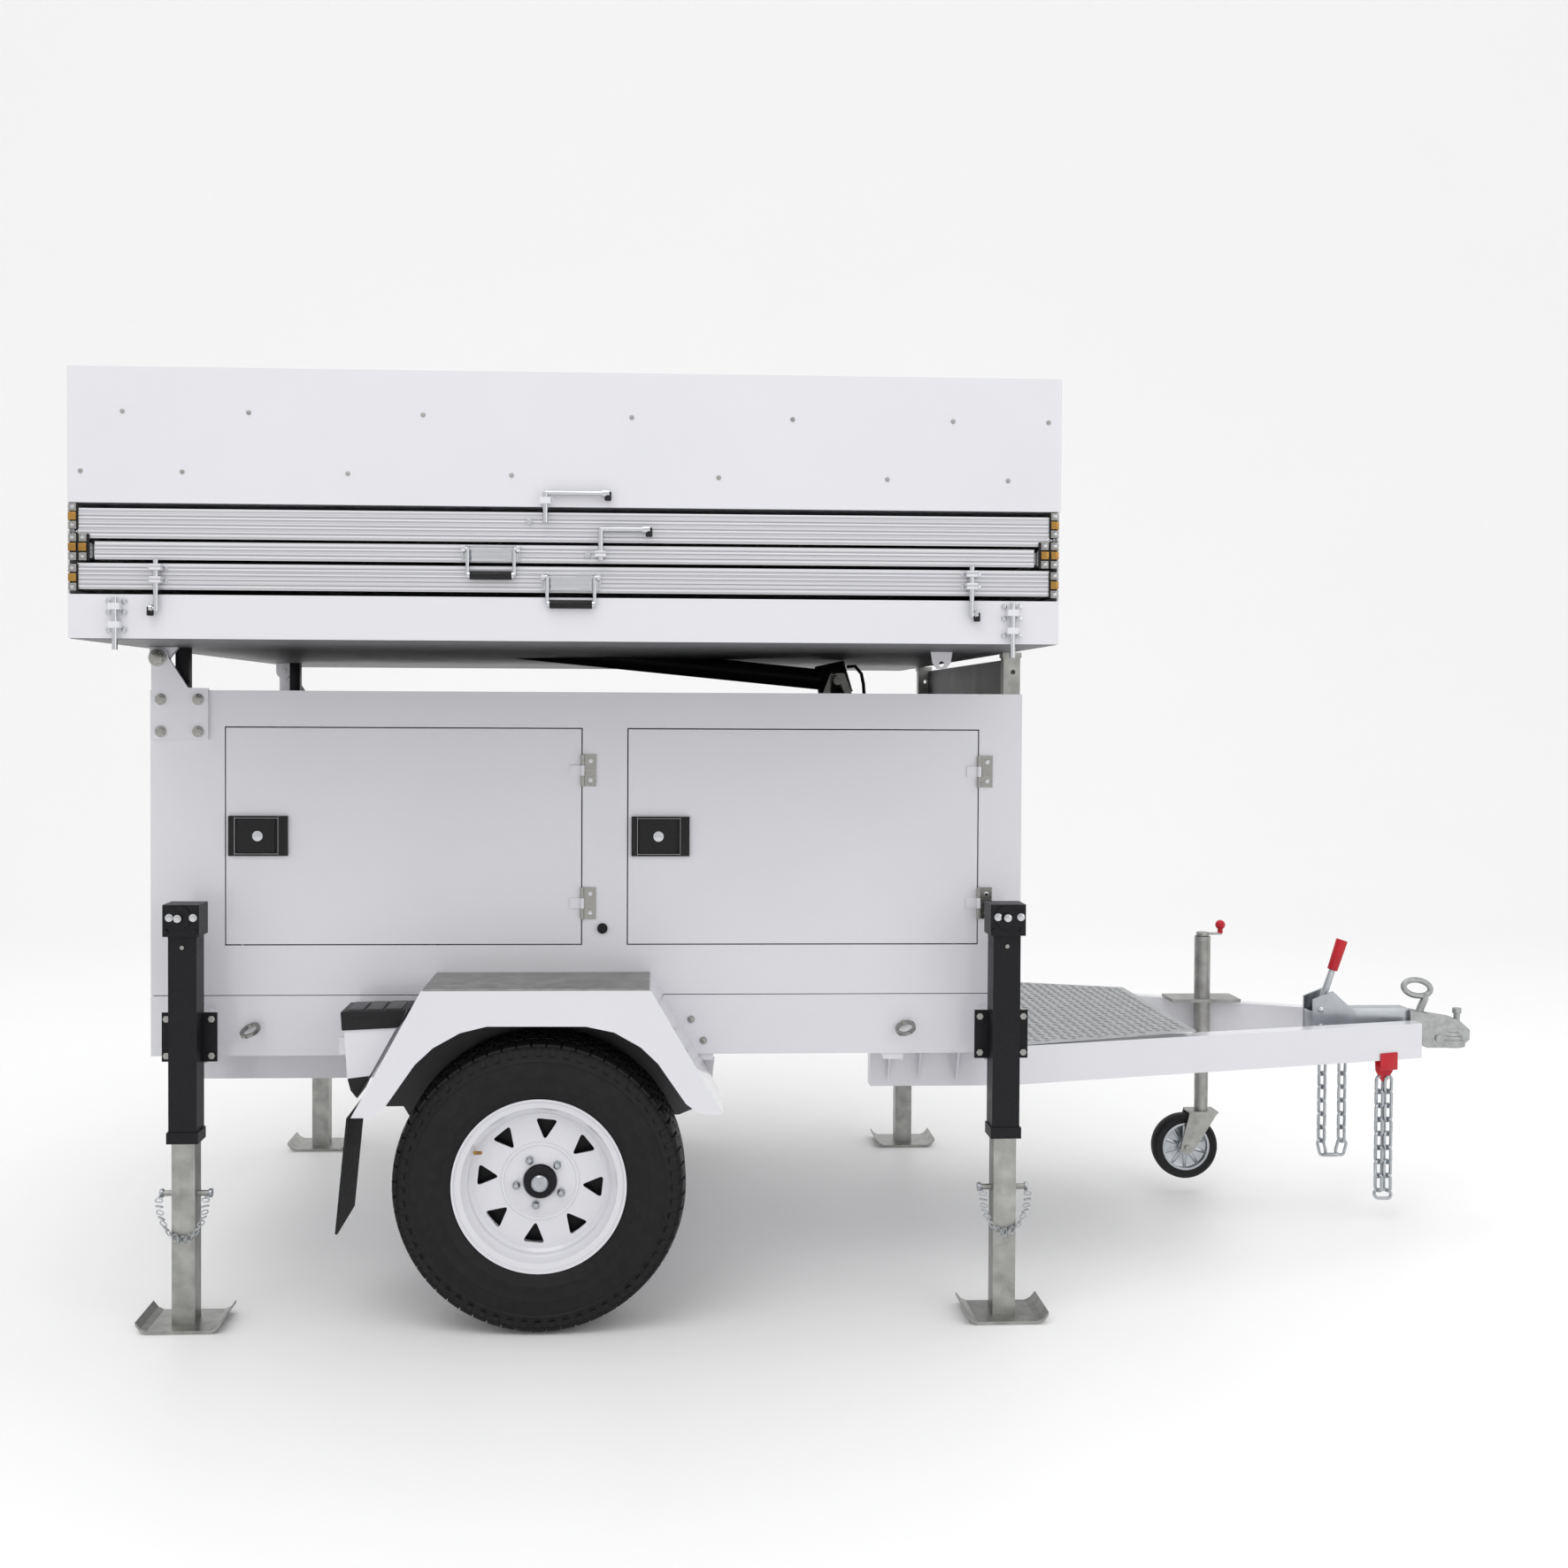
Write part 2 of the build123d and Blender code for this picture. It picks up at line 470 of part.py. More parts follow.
def make_coupling():
    x0 = COUPLING_X
    bracket = box(x0 + 20, BEAM_FRONT - 45, -32, 32, 522, 530)
    for side in (-1, 1):
        bracket = bracket + plate_xz([(x0, 522), (x0 + 126, 522), (x0 + 126, 600),
                                      (x0 + 60, 660), (x0, 636)], side * 32, side * 40)
    bearer = box(x0 + 90, BEAM_FRONT - 40, -30, 30, 530, 549.5)
    shaft = box(x0 + 60, 2510, -25, 25, 550, 607) - box(x0 + 50, 2505, -21, 21, 554, 603)
    pivot = rod((x0 + 28, -32, 575), (x0 + 28, 32, 575), 6)
    save("coupling_bracket", [bracket + pivot, shaft, bearer])
    head = plate_xz([(2510, 545), (2545, 510), (2560, 492), (2660, 492), (2690, 516),
                     (2690, 545), (2656, 575), (2590, 586), (2510, 603)], -38, 38)
    ball = (2640, 0, 512)
    head = head - Solid.make_sphere(25.2, Plane(origin=ball))
    head = head - rod((2640, 0, 480), ball, 25.2) - box(2520, 2580, -12, 12, 562, 620)
    save("coupling_head", head)
    grip = ring((2552, -6, 660), (2552, 6, 660), 44, 30)
    bar = rod((2550, -11.5, 580), (2550, 11.5, 580), 9)
    save("coupling_handle", grip + box(2540, 2562, -6, 6, 576, 626) + bar)
    lever = plate_xz([(x0 + 12, 562), (x0 + 34, 556), (x0 + 86, 732), (x0 + 68, 740)], -8, 8)
    lever = lever - rod((x0 + 28, -10, 575), (x0 + 28, 10, 575), 6.06)
    save("handbrake_lever", lever + rod((x0 + 74, 0, 726), (x0 + 96, 0, 800), 14))
    chains = []
    for x, y in CHAIN_SPOTS:
        shackle = box(x - 25, x + 25, y - 4, y + 4, 405, 475.5)
        chains.append(shackle - rod((x, y - 10, 425), (x, y + 10, 425), 9))
        for i in range(9):
            z = 388 - i * 42
            chains.append(ring((x, y - 4, z), (x, y + 4, z), 20, 12))
    save("safety_chains", chains)


# ---------------------------------------------------------------- display stack
def make_tray():
    x0, x1 = TRAY_X
    z0, z1 = TRAY_Z
    y = BOARD_HALF
    wall, web = 5, 6
    tray = box(x0, x1, -y, y, z0, z1) - box(x0 + wall, x1 - wall, -y + wall, y - wall, z0 - 1, z1 + 1)
    bars = []
    for x in (-760, -380, 0, 380, 760):
        bars.append(box(x, x + web, -y + wall, y - wall, z0 + 20, z1))
    for side in (-1, 1):
        bars.append(box(x0 + wall, x1 - wall, side * 686, side * 703, z0, z1 - 5))
        bars.append(box(x0 + wall, x1 - wall, side * 66, side * 72, z0, z1 - 5))
    for bar in bars:
        tray = tray + bar
    bay_x0, bay_x1, bay_half = RAM_BAY
    tray = tray - box(bay_x0, bay_x1, -bay_half, bay_half, z0 - 1, z1 + 1)
    for side in (-1, 1):
        lug = plate_xz([(PIVOT_X - EAR_RADIUS, PIVOT_Z), (PIVOT_X + EAR_RADIUS, PIVOT_Z),
                        (PIVOT_X + 45, z0), (PIVOT_X - EAR_RADIUS, z0)],
                       side * 686, side * 703)
        lug = lug + rod((PIVOT_X, side * 686, PIVOT_Z), (PIVOT_X, side * 703, PIVOT_Z), EAR_RADIUS)
        lug = lug - rod((PIVOT_X, side * 680, PIVOT_Z), (PIVOT_X, side * 708, PIVOT_Z),
                        PIVOT_PIN / 2 + 0.05)
        tray = tray + lug
    lock = plate_xz([(963, z0), (1017, z0), (1013, 1603), (1001, 1588), (979, 1588), (967, 1603)],
                    -705, -699)
    tray = tray + (lock - rod((990, -720, 1600), (990, -690, 1600), 7))
    guides = [bolt_guide(x, z, -BOARD_HALF) for x in (-900, 1063) for z in (1700, 1660)]
    save("tray_frame", [tray] + guides)
    pan = box(x0 + wall, x1 - wall, -y + wall, y - wall, z0 + 14, z0 + 17)
    pan = pan - box(bay_x0 - 8, bay_x1 + 8, -66, 66, z0, z1)
    for side in (-1, 1):
        pan = pan - box(x0, x1, side * 686, side * 703, z0, z1)
        pan = pan - box(x0, x1, side * 66, side * 72, z0, z1)
    save("tray_pan", pan)


def panel_fixings():
    """Solids that each panel carries on its near face."""
    found = {"upper_panel": [], "middle_panel": [bolt_guide(150, 1822, -PANEL_HALF)],
             "lower_panel": []}
    for x in (-812, 971):
        found["lower_panel"] += [bolt_guide(x, z, -PANEL_HALF) for z in (1758, 1785)]
    for panel, handle in (("middle_panel", "middle_handle"), ("lower_panel", "lower_handle")):
        x0, x1, z, _ = HANDLES[handle]
        found[panel] += handle_clips(x0, x1, z)
    return found


def slide_levels():
    """Panel name, end of the panel, centre height and height of its slides."""
    rows = []
    for name, (x0, x1, z0, z1) in PANELS.items():
        rows.append((name, x0, x1, (z0 + z1) / 2, min(44, z1 - z0 - 6)))
    return rows


def make_stack():
    fixings = panel_fixings()
    y = BOARD_HALF
    z0, z1 = TRAY_Z[1], CABINET_Z[0]
    walls = [box(TRAY_X[0], TRAY_X[0] + END_WALL, -y, y, z0, z1),
             box(TRAY_X[1] - END_WALL, TRAY_X[1], -y, y, z0, z1)]
    runners = {}
    for name, px0, px1, zc, height in slide_levels():
        low, high = zc - height / 2, zc + height / 2
        runner, middle = [], []
        for end, wall_face in ((px0, TRAY_X[0] + END_WALL), (px1, TRAY_X[1] - END_WALL)):
            out = -1 if end < 0 else 1
            edge = end
            runner.append(box(edge, edge + out * SLIDE_BAR, -1165, 1165, low, high))
            edge += out * (SLIDE_BAR + SLIDE_GAP)
            middle.append(box(edge, edge + out * SLIDE_BAR, -1170, 1170, low + 3, high - 3))
            edge += out * (SLIDE_BAR + SLIDE_GAP)
            walls.append(box(edge, wall_face, -1175, 1175, low, high))
        runners[name] = runner
        save(name + "_slides", middle)
    save("end_walls_and_slides", walls)

    for name, (x0, x1, pz0, pz1) in PANELS.items():
        h, w = PANEL_HALF, 6
        frame = box(x0, x1, -h, h, pz0, pz1) - box(x0 + w, x1 - w, -h + w, h - w, pz0 - 1, pz1 + 1)
        face = box(x0 + w, x1 - w, -h + w, h - w, pz1 - 10, pz1 - 6)
        save(name, [frame] + runners[name] + [face] + fixings[name])

    cab = box(*CABINET_X, -y, y, *CABINET_Z)
    cab = cab.fillet(6, cab.edges().filter_by(Axis.Z))
    inner = box(CABINET_X[0] + 4, CABINET_X[1] - 4, -y + 4, y - 4, CABINET_Z[0] + 4,
                CABINET_Z[1] + 1)
    guide = bolt_guide(29, 1938, -BOARD_HALF)
    save("display_cabinet", [cab - inner, guide])
    save("display_face", box(CABINET_X[0] + 4, CABINET_X[1] - 4, -y + 4, y - 4,
                             CABINET_Z[1] - 30, CABINET_Z[1] - 6))


def drop_bolt(x, bottom, top, arm_z=None, arm=0.0):
    """Upright spring bolt in front of the near faces, with a side arm and knob."""
    y = -BOARD_HALF - BOLT_OUT
    bolt = rod((x, y, bottom), (x, y, top), BOLT_R)
    if arm:
        bolt = bolt + rod((x, y, arm_z), (x + arm, y, arm_z), BOLT_R - 0.5)
        knob = x + arm - math.copysign(min(16, abs(arm) / 2), arm)
        bolt = bolt + rod((knob, y, arm_z), (x + arm, y, arm_z), BOLT_R + 2.5)
    return bolt


def bolt_guide(x, z, face_y):
    """Guide block with a bore for one bolt."""
    y = -BOARD_HALF - BOLT_OUT
    block = box(x - 12, x + 12, face_y, y - 9, z - 7, z + 7)
    return block - rod((x, y, z - 10), (x, y, z + 10), BOLT_R + 0.06)


def handle_clips(x0, x1, z):
    """Two eyes that carry a bail handle on a panel's near face."""
    y = -PANEL_HALF - 12
    eyes = []
    for x in (x0, x1):
        eye = box(x - 4, x + 4, -PANEL_HALF, y - 7, z - 7, z + 7)
        eyes.append(eye - rod((x - 8, y, z), (x + 8, y, z), 4.56))
    return eyes


def bail(x0, x1, z, drop):
    """Hanging bail: hinge ends, two legs and a grip."""
    y = -PANEL_HALF - 12
    shape = rod((x0 + 9, y, drop), (x1 - 9, y, drop), 8)
    for x, inward in ((x0, 9), (x1, -9)):
        shape = shape + rod((x - math.copysign(4, inward), y, z), (x + inward, y, z), 4.5)
        shape = shape + rod((x + inward, y, z), (x + inward, y, drop), 4.5)
    return shape


def make_locks():
    save("cabinet_bolt", drop_bolt(29, 1890, 1955, 1955, 140))
    save("upper_bolt", drop_bolt(150, 1808, 1877, 1877, 108))
    save("lower_bolt_rear", drop_bolt(-812, 1690, 1802, 1696, -14))
    save("lower_bolt_front", drop_bolt(971, 1690, 1802, 1696, 14))
    save("tray_bolt_rear", drop_bolt(-900, 1606, 1720))
    save("tray_bolt_front", drop_bolt(1063, 1600, 1722))
    for name, (x0, x1, z, drop) in HANDLES.items():
        save(name, bail(x0, x1, z, drop))


def make_lift():
    (bx, bz), (hx, hz) = LIFT_BASE, LIFT_HEAD
    length = math.hypot(hx - bx, hz - bz)
    ux, uz = (hx - bx) / length, (hz - bz) / length

    def at(distance):
        return (bx + ux * distance, 0, bz + uz * distance)

    barrel = rod(at(28), at(1010), 30)
    eye = rod((bx, -34, bz), (bx, 34, bz), 26) + rod(at(0), at(30), 22)
    barrel = barrel + eye - rod((bx, -40, bz), (bx, 40, bz), 12.06)
    bore = rod(at(60), at(1012), 18.1)
    save("lift_cylinder", barrel - bore)
    stem = rod(at(90), at(length - 10), 18) + rod((hx, -30, hz), (hx, 30, hz), 25)
    stem = stem + rod((hx, -50, hz), (hx, 50, hz), 10)
    save("lift_rod", stem)


def make_canister():
    """Small canister clipped to the rear of the near mudguard, leaning back."""
    lid = plate_xz([(-467, 718), (-336, 724), (-314, 766), (-470, 762)], -899, -766)
    body = plate_xz([(-463, 717.8), (-340, 723.4), (-402, 611), (-455, 604)], -895, -770)
    base = plate_xz([(-455, 603.8), (-403, 610.6), (-420, 583), (-432, 555), (-447, 575)],
                    -893, -772)
    lug = box(-484, -463.5, -840, -825, 650, 690)
    save("side_canister", [body, lid, base, lug])


make_chassis()
make_body()
make_door("rear_door", REAR_DOOR, REAR_DOOR[0] + 10.5)
make_door("front_door", FRONT_DOOR, FRONT_DOOR[0] + 11.5)
make_body_fittings()
make_mudguards()
make_suspension()
make_wheel("near", -1)
make_wheel("far", 1)
tubes = []
for row, jack_x in (("rear", JACK_X[0]), ("front", JACK_X[1])):
    for label, jack_side in (("near", -1), ("far", 1)):
        tubes += jack_tube(jack_x, jack_side)
        make_jack_leg(label + "_" + row, jack_x, jack_side)
save("jack_outer_tubes", tubes)
make_jockey()
make_coupling()
make_tray()
make_stack()
make_locks()
make_lift()
make_canister()

os.makedirs("parts", exist_ok=True)
for part_name, part_shape in parts.items():
    export_step(part_shape, f"parts/{part_name}.step")
print(len(parts), "parts")
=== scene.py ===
"""Arrow board trailer: finishes, road wheels, hardware, stage and camera."""
import json
import math

import bmesh
import bpy
from mathutils import Matrix, Vector


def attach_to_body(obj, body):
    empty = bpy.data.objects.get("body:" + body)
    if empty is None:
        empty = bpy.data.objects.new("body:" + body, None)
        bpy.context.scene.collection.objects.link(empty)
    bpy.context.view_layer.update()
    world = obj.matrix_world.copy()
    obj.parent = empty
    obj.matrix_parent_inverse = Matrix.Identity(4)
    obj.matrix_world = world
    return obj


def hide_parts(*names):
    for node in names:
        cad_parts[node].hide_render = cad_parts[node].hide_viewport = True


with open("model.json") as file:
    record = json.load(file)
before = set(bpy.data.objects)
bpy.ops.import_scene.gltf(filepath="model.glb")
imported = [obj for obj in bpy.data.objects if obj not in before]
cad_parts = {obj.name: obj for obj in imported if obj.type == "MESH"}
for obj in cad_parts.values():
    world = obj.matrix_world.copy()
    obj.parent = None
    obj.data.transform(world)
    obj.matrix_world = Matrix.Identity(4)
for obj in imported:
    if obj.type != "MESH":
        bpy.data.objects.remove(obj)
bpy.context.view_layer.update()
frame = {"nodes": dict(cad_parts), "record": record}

bl_info = {
    "name": "Arrow board trailer",
    "version": (1, 0, 0),
    "blender": (4, 5, 0),
    "location": "View3D > Sidebar > Trailer",
    "description": "Finishes, road wheels, chains, deck, panels and fittings of a display trailer",
    "category": "Object",
}

MID_X = 841.75                 # from the axle to the middle of the trailer
AXLE_Z, TYRE_Y = 350.0, 836.0
BEAM_HALF, BEAM_BEND, BEAM_TAPER = 553, 1200, 0.344    # drawbar beams narrow past the bend
PANEL_FACE = 1182.4            # just outside the sliding panels
PIN_Z = 315                    # cross pin of a jack leg
CHAIN_TOP = 400                # where the chain strands start
JOCKEY_HUB = (1910, 200, 146)
PIVOT = (-948, 1604)           # tilt pivot of the stack
NEAR, FAR = Vector((0, 0, 0)), Vector((0, 0, math.pi))  # turns of a bolt on each side
PANELS = {                     # body: x0, x1, z0, z1
    "upper_panel": (-984.0, 1148.5, 1849.0, 1914.0),
    "middle_panel": (-948.0, 1113.5, 1803.0, 1842.0),
    "lower_panel": (-985.0, 1148.0, 1738.0, 1795.0),
}
JACKS = {"near_rear": (-850.0, -828.5), "near_front": (1128.0, -828.5),
         "far_rear": (-850.0, 828.5), "far_front": (1128.0, 828.5)}
CHAIN_SPOTS = ((2400.0, -110.0), (2345.0, 138.0))
CHAIN_LOOPS = ((-13, 13, 92), (-28, 34, 160))     # the two strands and the foot
MATS = {}


# ---------------------------------------------------------------- settings
class TrailerSettings(bpy.types.PropertyGroup):
    """Sizes and colours of the trailer's visible detail"""
    paint_color: bpy.props.FloatVectorProperty(
        name="Paint", description="Colour of the painted body, guards and wheels",
        default=(0.69, 0.69, 0.725), min=0.0, max=1.0, size=3, subtype="COLOR")
    accent_color: bpy.props.FloatVectorProperty(
        name="Accent", description="Colour of the lever grip, crank knob and chain brackets",
        default=(0.46, 0.008, 0.018), min=0.0, max=1.0, size=3, subtype="COLOR")
    tread_count: bpy.props.IntProperty(
        name="Tread blocks", description="Blocks in one row round the tyre", default=60, min=24)
    rivet_radius: bpy.props.FloatProperty(
        name="Rivet radius", description="Radius of a cabinet rivet", default=0.005,
        unit="LENGTH", subtype="DISTANCE")
    link_pitch: bpy.props.FloatProperty(
        name="Link pitch", description="Distance between chain links", default=0.041,
        unit="LENGTH", subtype="DISTANCE")
    chequer_pitch: bpy.props.FloatProperty(
        name="Chequer pitch", description="Spacing of the bars on the deck plate", default=0.026,
        unit="LENGTH", subtype="DISTANCE")


# ---------------------------------------------------------------- materials
def finish(name, color, rough, metal=0.0, coat=0.0, tint=0.04, grain=18.0, bump=0.0,
           stretch=(1, 1, 1), shine=0.5, band=0.0):
    """Principled surface whose colour and roughness vary over the piece."""
    mat = bpy.data.materials.new(name)
    mat.use_nodes = True
    nodes, links = mat.node_tree.nodes, mat.node_tree.links
    shader = nodes["Principled BSDF"]
    coords = nodes.new("ShaderNodeTexCoord")
    mapping = nodes.new("ShaderNodeMapping")
    mapping.inputs["Scale"].default_value = stretch
    noise = nodes.new("ShaderNodeTexNoise")
    noise.inputs["Scale"].default_value = grain
    noise.inputs["Detail"].default_value = 6.0
    links.new(coords.outputs["Object"], mapping.inputs["Vector"])
    links.new(mapping.outputs["Vector"], noise.inputs["Vector"])
    ramp = nodes.new("ShaderNodeValToRGB")
    ramp.color_ramp.elements[0].position = 0.3
    ramp.color_ramp.elements[1].position = 0.7
    for element, gain in zip(ramp.color_ramp.elements, (1 - tint, 1 + tint)):
        element.color = [min(1.0, c * gain) for c in color] + [1]
    links.new(noise.outputs["Fac"], ramp.inputs["Fac"])
    tone = ramp.outputs["Color"]
    if band:                               # painted shade of fine grooves that run along the piece: darker bands
        wave = nodes.new("ShaderNodeTexWave")
        wave.bands_direction = "Z"
        wave.inputs["Scale"].default_value = 0.314 / band
        # painted shade: colour falls to 0.62 of its value in each groove band
        groove_shade = nodes.new("ShaderNodeMapRange")
        groove_shade.inputs["To Min"].default_value = 0.62
        links.new(coords.outputs["Object"], wave.inputs["Vector"])
        links.new(wave.outputs["Fac"], groove_shade.inputs["Value"])
        blend = nodes.new("ShaderNodeVectorMath")
        blend.operation = "SCALE"
        links.new(tone, blend.inputs[0])
        links.new(groove_shade.outputs["Result"], blend.inputs["Scale"])
        tone = blend.outputs["Vector"]
    links.new(tone, shader.inputs["Base Color"])
    spread = nodes.new("ShaderNodeMapRange")
    spread.inputs["To Min"].default_value = max(0.02, rough * 0.8)
    spread.inputs["To Max"].default_value = min(1.0, rough * 1.2)
    links.new(noise.outputs["Fac"], spread.inputs["Value"])
    links.new(spread.outputs["Result"], shader.inputs["Roughness"])
    shader.inputs["Metallic"].default_value = metal
    shader.inputs["Specular IOR Level"].default_value = shine
    shader.inputs["Coat Weight"].default_value = coat
    shader.inputs["Coat Roughness"].default_value = 0.05
    if bump:
        relief = nodes.new("ShaderNodeBump")
        relief.inputs["Strength"].default_value = bump
        relief.inputs["Distance"].default_value = 0.0006
        links.new(noise.outputs["Fac"], relief.inputs["Height"])
        links.new(relief.outputs["Normal"], shader.inputs["Normal"])
    MATS[name] = mat


def make_finishes(settings):
    finish("white_paint", settings.paint_color, 0.22, coat=0.5, tint=0.012, grain=3.0, bump=0.03)
    finish("black_paint", (0.010, 0.010, 0.012), 0.4, tint=0.2, grain=160, bump=0.2, shine=0.18)
    finish("dark_grey", (0.07, 0.07, 0.075), 0.45, tint=0.15, grain=12)
    finish("red_paint", settings.accent_color, 0.35, coat=0.1, tint=0.08, shine=0.3)
    finish("galvanised", (0.36, 0.36, 0.345), 0.42, metal=1.0, tint=0.22, grain=26, bump=0.12)
    finish("bright_zinc", (0.44, 0.46, 0.48), 0.3, metal=1.0, tint=0.12, grain=20)
    finish("stainless", (0.33, 0.325, 0.31), 0.28, metal=1.0, tint=0.06, grain=40,
           stretch=(1, 1, 8))
    finish("chrome", (0.55, 0.56, 0.58), 0.09, metal=1.0, tint=0.03, grain=12)
    finish("extrusion", (0.74, 0.74, 0.77), 0.34, metal=0.25, tint=0.02, grain=20,
           stretch=(0.2, 1, 12), band=0.0093)
    finish("tread_plate", (0.40, 0.41, 0.42), 0.36, metal=1.0, tint=0.12, grain=22, bump=0.1)
    finish("cast", (0.40, 0.41, 0.41), 0.46, metal=1.0, tint=0.15, grain=70, bump=0.5)
    finish("tyre", (0.010, 0.010, 0.011), 0.5, tint=0.25, grain=45, bump=0.25, shine=0.2)
    finish("rubber", (0.014, 0.014, 0.015), 0.6, tint=0.2, grain=60, bump=0.25, shine=0.2)
    finish("black_plastic", (0.012, 0.012, 0.013), 0.4, tint=0.2, grain=140, bump=0.2,
           shine=0.22)
    finish("display_face", (0.02, 0.02, 0.022), 0.5, tint=0.2, grain=90)
    finish("battery", (0.05, 0.05, 0.055), 0.5, tint=0.1)
    finish("brass", (0.40, 0.22, 0.06), 0.26, metal=1.0, tint=0.1)
    finish("floor", (0.97, 0.97, 0.97), 0.5, tint=0.004, grain=0.6)


# ---------------------------------------------------------------- mesh helpers, millimetres
def add_box(bm, x0, x1, y0, y1, z0, z1):
    spot = Matrix.Translation(((x0 + x1) / 2, (y0 + y1) / 2, (z0 + z1) / 2))
    size = Matrix.Diagonal((abs(x1 - x0), abs(y1 - y0), abs(z1 - z0), 1))
    bmesh.ops.create_cube(bm, size=1, matrix=spot @ size)


def add_rod(bm, start, end, radius, tip=None, segments=24):
    a, b = Vector(start), Vector(end)
    turn = (b - a).to_track_quat("Z", "Y").to_matrix().to_4x4()
    bmesh.ops.create_cone(bm, cap_ends=True, segments=segments, radius1=radius,
                          radius2=radius if tip is None else tip, depth=(b - a).length,
                          matrix=Matrix.Translation((a + b) / 2) @ turn)


def add_path(bm, points, radius, closed=False, segments=10):
    """Round bar along a run of points."""
    points = [Vector(p) for p in points]
    count = len(points)
    rings = []
    side = None
    for i, point in enumerate(points):
        ahead = points[(i + 1) % count] if closed or i < count - 1 else point
        behind = points[i - 1] if closed or i else point
        along = (ahead - behind).normalized()
        if side is None:
            side = along.orthogonal().normalized()
        side = (side - along * side.dot(along)).normalized()
        up = along.cross(side)
        rings.append([bm.verts.new(point + radius * (side * math.cos(a) + up * math.sin(a)))
                      for a in (2 * math.pi * k / segments for k in range(segments))])
    for i in range(count if closed else count - 1):
        one, two = rings[i], rings[(i + 1) % count]
        shift = 0
        if closed and i == count - 1:
            shift = min(range(segments), key=lambda k: (one[0].co - two[k].co).length)
        for k in range(segments):
            n = (k + 1) % segments
            bm.faces.new((one[k], one[n], two[(n + shift) % segments],
                          two[(k + shift) % segments]))
    if not closed:
        bm.faces.new(rings[0][::-1])
        bm.faces.new(rings[-1])


def add_lathe(bm, centre, profile, segments=96):
    """Closed (radius, y) outline turned about an axis along Y through the centre."""
    rings = []
    for k in range(segments):
        a = 2 * math.pi * k / segments
        rings.append([bm.verts.new((centre[0] + r * math.sin(a), centre[1] + y,
                                    centre[2] + r * math.cos(a))) for r, y in profile])
    for k in range(segments):
        one, two = rings[k], rings[(k + 1) % segments]
        for i in range(len(profile)):
            j = (i + 1) % len(profile)
            bm.faces.new((one[i], two[i], two[j], one[j]))


def add_prism(bm, outline, y0, y1):
    """Closed (x, z) outline drawn out between two Y planes."""
    ends = [[bm.verts.new((x, y, z)) for x, z in outline] for y in (y0, y1)]
    bm.faces.new(ends[0])
    bm.faces.new(ends[1][::-1])
    for k in range(len(outline)):
        n = (k + 1) % len(outline)
        bm.faces.new((ends[0][k], ends[1][k], ends[1][n], ends[0][n]))


def shade(mesh):
    """Smooth faces with sharp edges over 35 degrees."""
    for face in mesh.polygons:
        face.use_smooth = True
    mesh.set_sharp_from_angle(angle=math.radians(35))


def finished(name, bm, body, material, bevel=0.0, replaced=(), local=False):
    """Turns a mesh drawn in millimetres into a piece that rides on a body."""
    name = name.replace(" ", "_")
    bmesh.ops.recalc_face_normals(bm, faces=bm.faces)
    if not local:
        bmesh.ops.translate(bm, verts=bm.verts, vec=(-MID_X, 0, 0))
    bmesh.ops.scale(bm, verts=bm.verts, vec=(0.001, 0.001, 0.001))
    mesh = bpy.data.meshes.new(name)
    bm.to_mesh(mesh)
    bm.free()
    obj = bpy.data.objects.new(name, mesh)
    bpy.context.scene.collection.objects.link(obj)
    mesh.materials.append(MATS[material])
    if bevel:
        edge = obj.modifiers.new("Edge", "BEVEL")
        edge.width, edge.segments, edge.limit_method = bevel / 1000, 2, "ANGLE"
        bake(obj)
    shade(obj.data)
    if not local:
        attach(obj, body, replaced)
    return obj


def attach(obj, body, replaced=()):
    """Makes a piece ride on its body and take the place of the CAD nodes it replaces."""
    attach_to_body(obj, body)
    if replaced:
        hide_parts(*replaced)


def bake(obj):
    """Applies the modifiers of an object to its mesh."""
    graph = bpy.context.evaluated_depsgraph_get()
    graph.update()
    mesh = bpy.data.meshes.new_from_object(obj.evaluated_get(graph))
    obj.modifiers.clear()
    obj.data = mesh


def repeat_tree():
    """Node group that places one piece on every point, turned by the point's own angles."""
    tree = bpy.data.node_groups.get("Repeat piece")
    if tree:
        return tree
    tree = bpy.data.node_groups.new("Repeat piece", "GeometryNodeTree")
    face = tree.interface
    face.new_socket(name="Points", in_out="INPUT", socket_type="NodeSocketGeometry")
    face.new_socket(name="Piece", in_out="INPUT", socket_type="NodeSocketObject")
    face.new_socket(name="Scale", in_out="INPUT", socket_type="NodeSocketFloat")
    face.new_socket(name="Finish", in_out="INPUT", socket_type="NodeSocketMaterial")
    face.new_socket(name="Result", in_out="OUTPUT", socket_type="NodeSocketGeometry")
    new, link = tree.nodes.new, tree.links.new
    source, out = new("NodeGroupInput"), new("NodeGroupOutput")
    info, turn = new("GeometryNodeObjectInfo"), new("GeometryNodeInputNamedAttribute")
    turn.data_type = "FLOAT_VECTOR"
    turn.inputs["Name"].default_value = "turn"
    angles, place = new("FunctionNodeEulerToRotation"), new("GeometryNodeInstanceOnPoints")
    real, paint = new("GeometryNodeRealizeInstances"), new("GeometryNodeSetMaterial")
    link(source.outputs["Points"], place.inputs["Points"])
    link(source.outputs["Piece"], info.inputs["Object"])
    link(info.outputs["Geometry"], place.inputs["Instance"])
    link(turn.outputs["Attribute"], angles.inputs["Euler"])
    link(angles.outputs["Rotation"], place.inputs["Rotation"])
    link(source.outputs["Scale"], place.inputs["Scale"])
    link(place.outputs["Instances"], real.inputs["Geometry"])
    link(real.outputs["Geometry"], paint.inputs["Geometry"])
    link(source.outputs["Finish"], paint.inputs["Material"])
    link(paint.outputs["Geometry"], out.inputs["Result"])
    return tree


